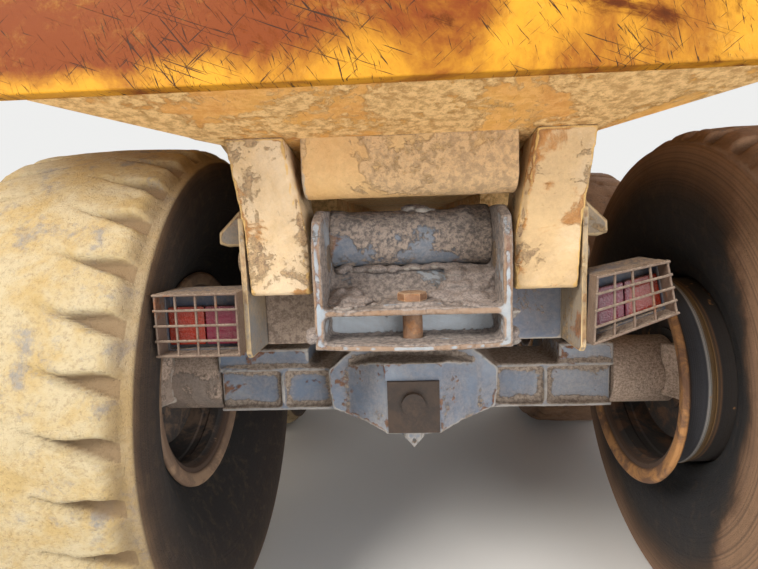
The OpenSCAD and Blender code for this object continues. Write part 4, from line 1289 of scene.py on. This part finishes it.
@dataclass(frozen=True)
class Rim:
    """A wide base rim with its hub, wheel disc, nuts and brake disc."""

    node: str
    body: str
    side: Side
    y: float
    finish: Finish
    nuts: int = 20

    def build(self) -> bpy.types.Object:
        """Spins the drum and the hub, sets the nuts, and dresses the rim.

        Returns:
            The rim's object.
        """
        bm = bmesh.new()
        drum = [(0.366, -0.2690), (0.374, -0.2680), (0.380, -0.2620), (0.381, -0.2550),
                (0.378, -0.2500), (0.364, -0.2485), (0.340, -0.2440), (0.328, -0.2350),
                (0.319, -0.2170), (0.3175, -0.2100), (0.318, -0.1500), (0.316, -0.1440),
                (0.313, -0.1400), (0.313, 0.1400), (0.318, 0.1500), (0.318, 0.2150),
                (0.330, 0.2360), (0.364, 0.2485), (0.378, 0.2500), (0.381, 0.2560),
                (0.380, 0.2620), (0.374, 0.2680), (0.367, 0.2690), (0.358, 0.2650),
                (0.345, 0.2600), (0.330, 0.2560), (0.316, 0.2500), (0.309, 0.2380),
                (0.304, 0.2250), (0.304, 0.0750), (0.304, -0.1500), (0.309, -0.1560),
                (0.309, -0.1760), (0.304, -0.1830), (0.304, -0.2180), (0.310, -0.2260),
                (0.313, -0.2400), (0.320, -0.2480), (0.334, -0.2510), (0.338, -0.2590),
                (0.345, -0.2630), (0.356, -0.2640)]
        spin_profile(bm, drum, 120)
        hub = [(0.0853, 0.000), (0.0853, -0.138), (0.140, -0.138), (0.140, -0.130),
               (0.2385, -0.130), (0.240, -0.1285), (0.240, -0.1065), (0.2385, -0.105),
               (0.152, -0.105), (0.150, -0.103), (0.150, -0.088), (0.203, -0.088),
               (0.205, -0.086), (0.205, 0.060), (0.3055, 0.060), (0.3055, 0.074),
               (0.207, 0.074), (0.205, 0.078), (0.205, 0.128), (0.202, 0.131),
               (0.192, 0.140), (0.188, 0.145), (0.176, 0.228), (0.172, 0.236),
               (0.122, 0.260), (0.116, 0.2625), (0.030, 0.268), (0.0005, 0.268),
               (0.0005, 0.000)]
        spin_profile(bm, hub, 80)
        for k in range(self.nuts):
            angle = 2 * math.pi * k / self.nuts
            spot = (0.085, 0.262 * math.cos(angle), 0.262 * math.sin(angle))
            add_bar(bm, spot, 0.019, 0.024, 6, 0.003)
            add_bar(bm, (0.100, spot[1], spot[2]), 0.010, 0.030, 12, 0.002)
        for k in range(12):
            angle = 2 * math.pi * (k + 0.5) / 12
            add_bar(bm, (0.236, 0.150 * math.cos(angle), 0.150 * math.sin(angle)),
                    0.012, 0.020, 6, 0.002)
        piece = to_object(bm, self.node + "_detailed")
        mesh = piece.data
        points = get_points(mesh)
        radius = np.hypot(points[:, 1], points[:, 2])
        axial = points[:, 0]
        flange = (radius > 0.335) & (np.abs(axial) > 0.245)
        inside = (radius < 0.311) & ~flange
        set_mark(mesh, "across", np.clip((axial + 0.235) * 2.7, 0.0, 1.0))
        set_mark(mesh, "flange", flange.astype(float))
        set_mark(mesh, "inside", inside.astype(float))
        set_on_axle(mesh, self.side, self.y)
        mesh.set_sharp_from_angle(angle=math.radians(35))
        return place_piece(piece, self.body, self.finish, Slot.RIM, self.node)


# ---- worn copies of CAD nodes ----


@dataclass(frozen=True)
class WornCopy:
    """A CAD node melted into one skin, with dents, caked mud and marked edges."""

    node: str
    body: str
    finish: Finish
    slot: Slot
    size: float = 0.006
    dent: float = 0.0012
    mud: float = 0.004
    mud_up: float = 0.5
    seed: int = 3

    def build(self) -> bpy.types.Object:
        """Melts, dents and dresses the copy.

        Returns:
            The copy's object.
        """
        piece = to_object(node_bmesh(self.node), self.node + "_worn")
        remesh(piece, self.size)
        mesh = piece.data
        points = get_points(mesh)
        normals = get_normals(mesh)
        nook = mark_edges(mesh, self.size)
        cake = np.clip(lumps(points, 0.07, self.seed) * 1.6 + 0.35, 0.0, 1.0)
        lift = np.clip(nook + self.mud_up * np.clip(normals[:, 2] - 0.3, 0, 1) * 1.4, 0, 1)
        shift = self.mud * cake * lift + self.dent * lumps(points, 0.09, self.seed + 4)
        shift += self.dent * 0.45 * lumps(points, 0.018, self.seed + 8, 2)
        set_points(mesh, points + normals * shift[:, None])
        return place_piece(piece, self.body, self.finish, self.slot, self.node)


@dataclass(frozen=True)
class BevelledNode:
    """A CAD node that keeps its mesh, with live joined and bevelled edges."""

    node: str
    finish: Finish
    width: float = 0.003
    segments: int = 2

    def dress(self) -> None:
        """Adds the modifiers and the material to the node."""
        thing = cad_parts[self.node]
        thing.data.materials.clear()
        thing.data.materials.append(material_of(self.finish))
        join = thing.modifiers.new("join", "WELD")
        join.merge_threshold = 1e-5
        soft = thing.modifiers.new("soft_edges", "BEVEL")
        soft.width = self.width
        soft.segments = self.segments
        soft.limit_method = "ANGLE"
        soft.angle_limit = math.radians(40)


@dataclass(frozen=True)
class Clods:
    """Dry clods of mud that lie on one body, melted into one lumpy skin.

    Each row of the heaps holds a box's low and high corner, a clod's usual radius and
    how many clods lie in it.
    """

    name: str
    body: str
    heaps: tuple[tuple[tuple[float, float, float], tuple[float, float, float],
                       float, int], ...]
    size: float = 0.0042
    seed: int = 5

    def build(self) -> bpy.types.Object:
        """Strews, melts and dresses the clods.

        Returns:
            The clods' object.
        """
        chance = random.Random(self.seed)
        bm = bmesh.new()
        for low, high, radius, count in self.heaps:
            for k in range(count):
                share = (k + 0.5) / count
                spot = Vector([low[0] + (high[0] - low[0]) * share,
                               *(chance.uniform(low[n], high[n]) for n in (1, 2))])
                across = radius * chance.uniform(0.55, 1.25)
                turn = Matrix.Rotation(chance.uniform(0.0, 3.1), 4, "Z")
                shape = Matrix.Diagonal((across * 1.35, across, across * 0.62, 1.0))
                bmesh.ops.create_icosphere(bm, subdivisions=2, radius=1.0,
                                           matrix=Matrix.Translation(spot) @ turn @ shape)
        piece = to_object(bm, self.name)
        remesh(piece, self.size)
        mesh = piece.data
        points = get_points(mesh)
        mark_edges(mesh, self.size)
        shift = 0.0035 * lumps(points, 0.024, self.seed) + 0.0015 * lumps(points, 0.009, 4, 2)
        set_points(mesh, points + get_normals(mesh) * shift[:, None])
        return place_piece(piece, self.body, CLODS, Slot.FRAME)


# ---- stage ----


@dataclass(frozen=True)
class Studio:
    """Floor, lamps, world and the camera at the photograph's place."""

    eye: tuple[float, float, float] = (-0.014, -3.615, 1.355)
    lens_pixels: float = 517.5
    image_width: int = 758
    yaw: float = -2.99
    pitch: float = 7.10
    roll: float = 1.93
    floor_tone: Colour = (0.80, 0.78, 0.75)

    def build(self) -> None:
        """Makes everything that isn't part of the object."""
        self.camera()
        self.floor()
        self.world()
        self.lamp("key", (-3.6, -6.6, 5.4), (0.0, -2.0, 0.9), 2.6, 620.0, (1.0, 0.96, 0.9))
        self.lamp("fill", (3.2, -6.0, 1.6), (0.1, -2.0, 0.9), 3.5, 150.0, (0.95, 0.97, 1.0))
        self.lamp("front", (2.5, 5.5, 5.0), (0.0, 0.0, 1.2), 4.0, 320.0, (1.0, 1.0, 1.0))

    def camera(self) -> None:
        """Sets the camera as the photograph was taken."""
        yaw, pitch, roll = (math.radians(a) for a in (self.yaw, self.pitch, self.roll))
        ahead = Vector((math.sin(yaw), math.cos(yaw), 0.0))
        right = Vector((math.cos(yaw), -math.sin(yaw), 0.0))
        up = Vector((0.0, 0.0, 1.0))
        view = ahead * math.cos(pitch) - up * math.sin(pitch)
        above = up * math.cos(pitch) + ahead * math.sin(pitch)
        side = right * math.cos(roll) - above * math.sin(roll)
        top = above * math.cos(roll) + right * math.sin(roll)
        data = bpy.data.cameras.new("photo_camera")
        data.sensor_width = 36.0
        data.lens = self.lens_pixels / self.image_width * 36.0
        data.clip_start = 0.02
        made = new_object("photo_camera", data)
        turn = Matrix((side, top, -view)).transposed().to_4x4()
        made.matrix_world = Matrix.Translation(self.eye) @ turn
        bpy.context.scene.camera = made

    def floor(self) -> None:
        """Lays the plain pale floor."""
        bm = bmesh.new()
        bmesh.ops.create_grid(bm, x_segments=1, y_segments=1, size=60.0)
        bmesh.ops.translate(bm, verts=bm.verts, vec=(0, 0, -0.002))
        made = to_object(bm, "floor")
        sheet = Sheet("floor_pale")
        made.data.materials.append(sheet.close(self.floor_tone, 0.9))

    def lamp(self, name: str, place: tuple, aim: tuple, size: float, power: float,
             tint: Colour) -> None:
        """Hangs one soft lamp.

        Args:
            name: the lamp's name.
            place: where it hangs.
            aim: where it points.
            size: its side.
            power: its power in watts.
            tint: its colour.
        """
        data = bpy.data.lights.new(name, "AREA")
        data.size = size
        data.energy = power
        data.color = tint
        made = new_object(name, data)
        turn = (Vector(aim) - Vector(place)).to_track_quat("-Z", "Y").to_matrix().to_4x4()
        made.matrix_world = Matrix.Translation(place) @ turn

    def world(self) -> None:
        """Lights the scene all round, and shows a pale backdrop to the camera."""
        world = bpy.data.worlds.new("studio")
        bpy.context.scene.world = world
        world.use_nodes = True
        graph = Graph(world.node_tree)
        soft = world.node_tree.nodes["Background"]
        soft.inputs["Color"].default_value = (0.93, 0.96, 1.0, 1.0)
        soft.inputs["Strength"].default_value = 0.62
        pale = graph.node("ShaderNodeBackground")
        pale.inputs["Color"].default_value = (0.86, 0.86, 0.85, 1.0)
        path = graph.node("ShaderNodeLightPath")
        seen = graph.math("MAXIMUM", path.outputs["Is Camera Ray"],
                          graph.math("MAXIMUM", path.outputs["Is Glossy Ray"],
                                     path.outputs["Is Transmission Ray"]))
        mix = graph.node("ShaderNodeMixShader")
        graph.feed(mix.inputs[0], seen)
        graph.feed(mix.inputs[1], soft.outputs[0])
        graph.feed(mix.inputs[2], pale.outputs[0])
        graph.feed(world.node_tree.nodes["World Output"].inputs["Surface"], mix.outputs[0])


# ---- the unit ----


NODE_FINISHES: tuple[tuple[Finish, tuple[str, ...]], ...] = (
    (FRAME_PAINT, ("frame_rails", "hitch_head", "front_cross_member", "bogie_cross_tube",
                   "walking_beams", "axle_middle", "torque_rods", "hoist_brackets",
                   "hoist_barrel_left", "hoist_barrel_right")),
    (DARK_STEEL, ("hinge_pins", "prop_shafts")),
    (STACK_RUBBER, ("spring_pads", "rest_pads")),
    (OIL_PLATE, ("axle_covers",)),
    (MUD_CAKE, ("hub_housings",)),
    (LAMP_SHELL, ("lamp_housings",)),
    (LENS, ("lamp_lenses",)),
    (CAGE_RUST, ("lamp_guards",)),
    (UNDER_PAINT, ("body_floor", "body_sills")),
    (BODY_PAINT, ("wear_plate", "body_side_left", "body_side_right", "body_front_wall",
                  "top_rails", "side_ribs", "hoist_lugs")),
    (LIP_PAINT, ("body_lip",)),
    (CHROME, ("hoist_rod_left", "hoist_rod_right")))

WORN: tuple[WornCopy, ...] = (
    WornCopy("axle_rear", "rear_frame", FRAME_PAINT, Slot.FRAME, 0.0072, seed=3),
    WornCopy("tow_pocket", "rear_frame", POCKET_PAINT, Slot.FRAME, 0.0048, seed=11),
    WornCopy("pocket_tube", "rear_frame", TUBE_PAINT, Slot.FRAME, 0.005, mud=0.012,
             mud_up=1.0, seed=15),
    WornCopy("tail_side_plates", "rear_frame", PLATE_PAINT, Slot.FRAME, 0.004, seed=19),
    WornCopy("tail_cross_plates", "rear_frame", CROSS_PAINT, Slot.FRAME, 0.0045, seed=23),
    WornCopy("brake_calipers", "rear_frame", MUD_CAKE, Slot.RUST, 0.008, 0.004, 0.016,
             seed=29),
    WornCopy("tow_pin", "rear_frame", OLD_RUST, Slot.RUST, 0.003, 0.001, 0.002, seed=31),
    WornCopy("hinge_ears", "dump_body", EAR_PAINT, Slot.BODY, 0.0048, seed=37),
    WornCopy("ear_cross_beam", "dump_body", BEAM_PAINT, Slot.BODY, 0.005, mud=0.008,
             seed=41))


TAIL_CLODS = Clods("tail_clods", "rear_frame", tuple(
    ((x0, REAR_Y + y0, z0), (x1, REAR_Y + y1, z1), radius, count)
    for x0, x1, y0, y1, z0, z1, radius, count in (
        (0.060, 0.200, -0.560, -0.535, 1.152, 1.165, 0.026, 16),
        (0.080, 0.200, -0.530, -0.515, 1.165, 1.190, 0.028, 14),
        (0.100, 0.200, -0.505, -0.490, 1.195, 1.215, 0.026, 10),
        (-0.200, -0.110, -0.560, -0.535, 1.152, 1.162, 0.022, 12),
        (-0.200, -0.140, -0.535, -0.515, 1.165, 1.185, 0.022, 7),
        (-0.190, 0.190, -0.478, -0.468, 1.226, 1.234, 0.016, 26),
        (-0.200, -0.120, -0.630, -0.570, 1.151, 1.155, 0.012, 14),
        (0.120, 0.200, -0.630, -0.570, 1.151, 1.155, 0.012, 12),
        (-0.100, 0.110, -0.610, -0.560, 1.151, 1.154, 0.010, 12),
        (0.000, 0.060, -0.450, -0.430, 1.376, 1.384, 0.018, 7),
        (-0.238, -0.226, -0.640, -0.600, 1.062, 1.120, 0.016, 7),
        (0.226, 0.236, -0.640, -0.560, 1.062, 1.150, 0.015, 9))))


def wheels() -> list[Tyre | Rim]:
    """Lists the four rims and tyres with their own places and finishes.

    Returns:
        A tyre and its rim for each wheel.
    """
    made: list[Tyre | Rim] = []
    for axle, y in (("rear", REAR_Y), ("middle", REAR_Y + WHEELBASE)):
        for side in Side:
            body = f"wheel_{axle}_{side.word}"
            steps = 20 if axle == "rear" else 8
            bead, tread, finish, rim = 0.0, 0.0, TYRE_DUSTY, RIM_LEFT
            if axle == "rear":
                bead = 0.140 if side is Side.RIGHT else 0.0
                tread = 0.128 if side is Side.RIGHT else -0.112
            if side is Side.RIGHT:
                finish, rim = TYRE_DARK, RIM_RIGHT
            made.append(Tyre(f"tyre_{axle}_{side.word}", body, side, y, finish, bead, tread,
                             steps_per_lug=steps, seed=51 + len(made)))
            made.append(Rim(f"rim_{axle}_{side.word}", body, side, y, rim))
    return made


def main() -> None:
    """Builds the stage and every piece."""
    logging.basicConfig(level=logging.INFO, format="%(message)s")
    bpy.context.scene.view_settings.view_transform = "Standard"
    make_groups()
    Studio().build()
    for finish, nodes in NODE_FINISHES:
        for node in nodes:
            BevelledNode(node, finish, segments=1 if finish is CAGE_RUST else 2).dress()
            LOG.info("dressed %s", node)
    for part in [*WORN, *wheels(), TAIL_CLODS]:
        piece = part.build()
        LOG.info("made %s, %d points", piece.name, len(piece.data.vertices))


if __name__ == "__main__":
    main()
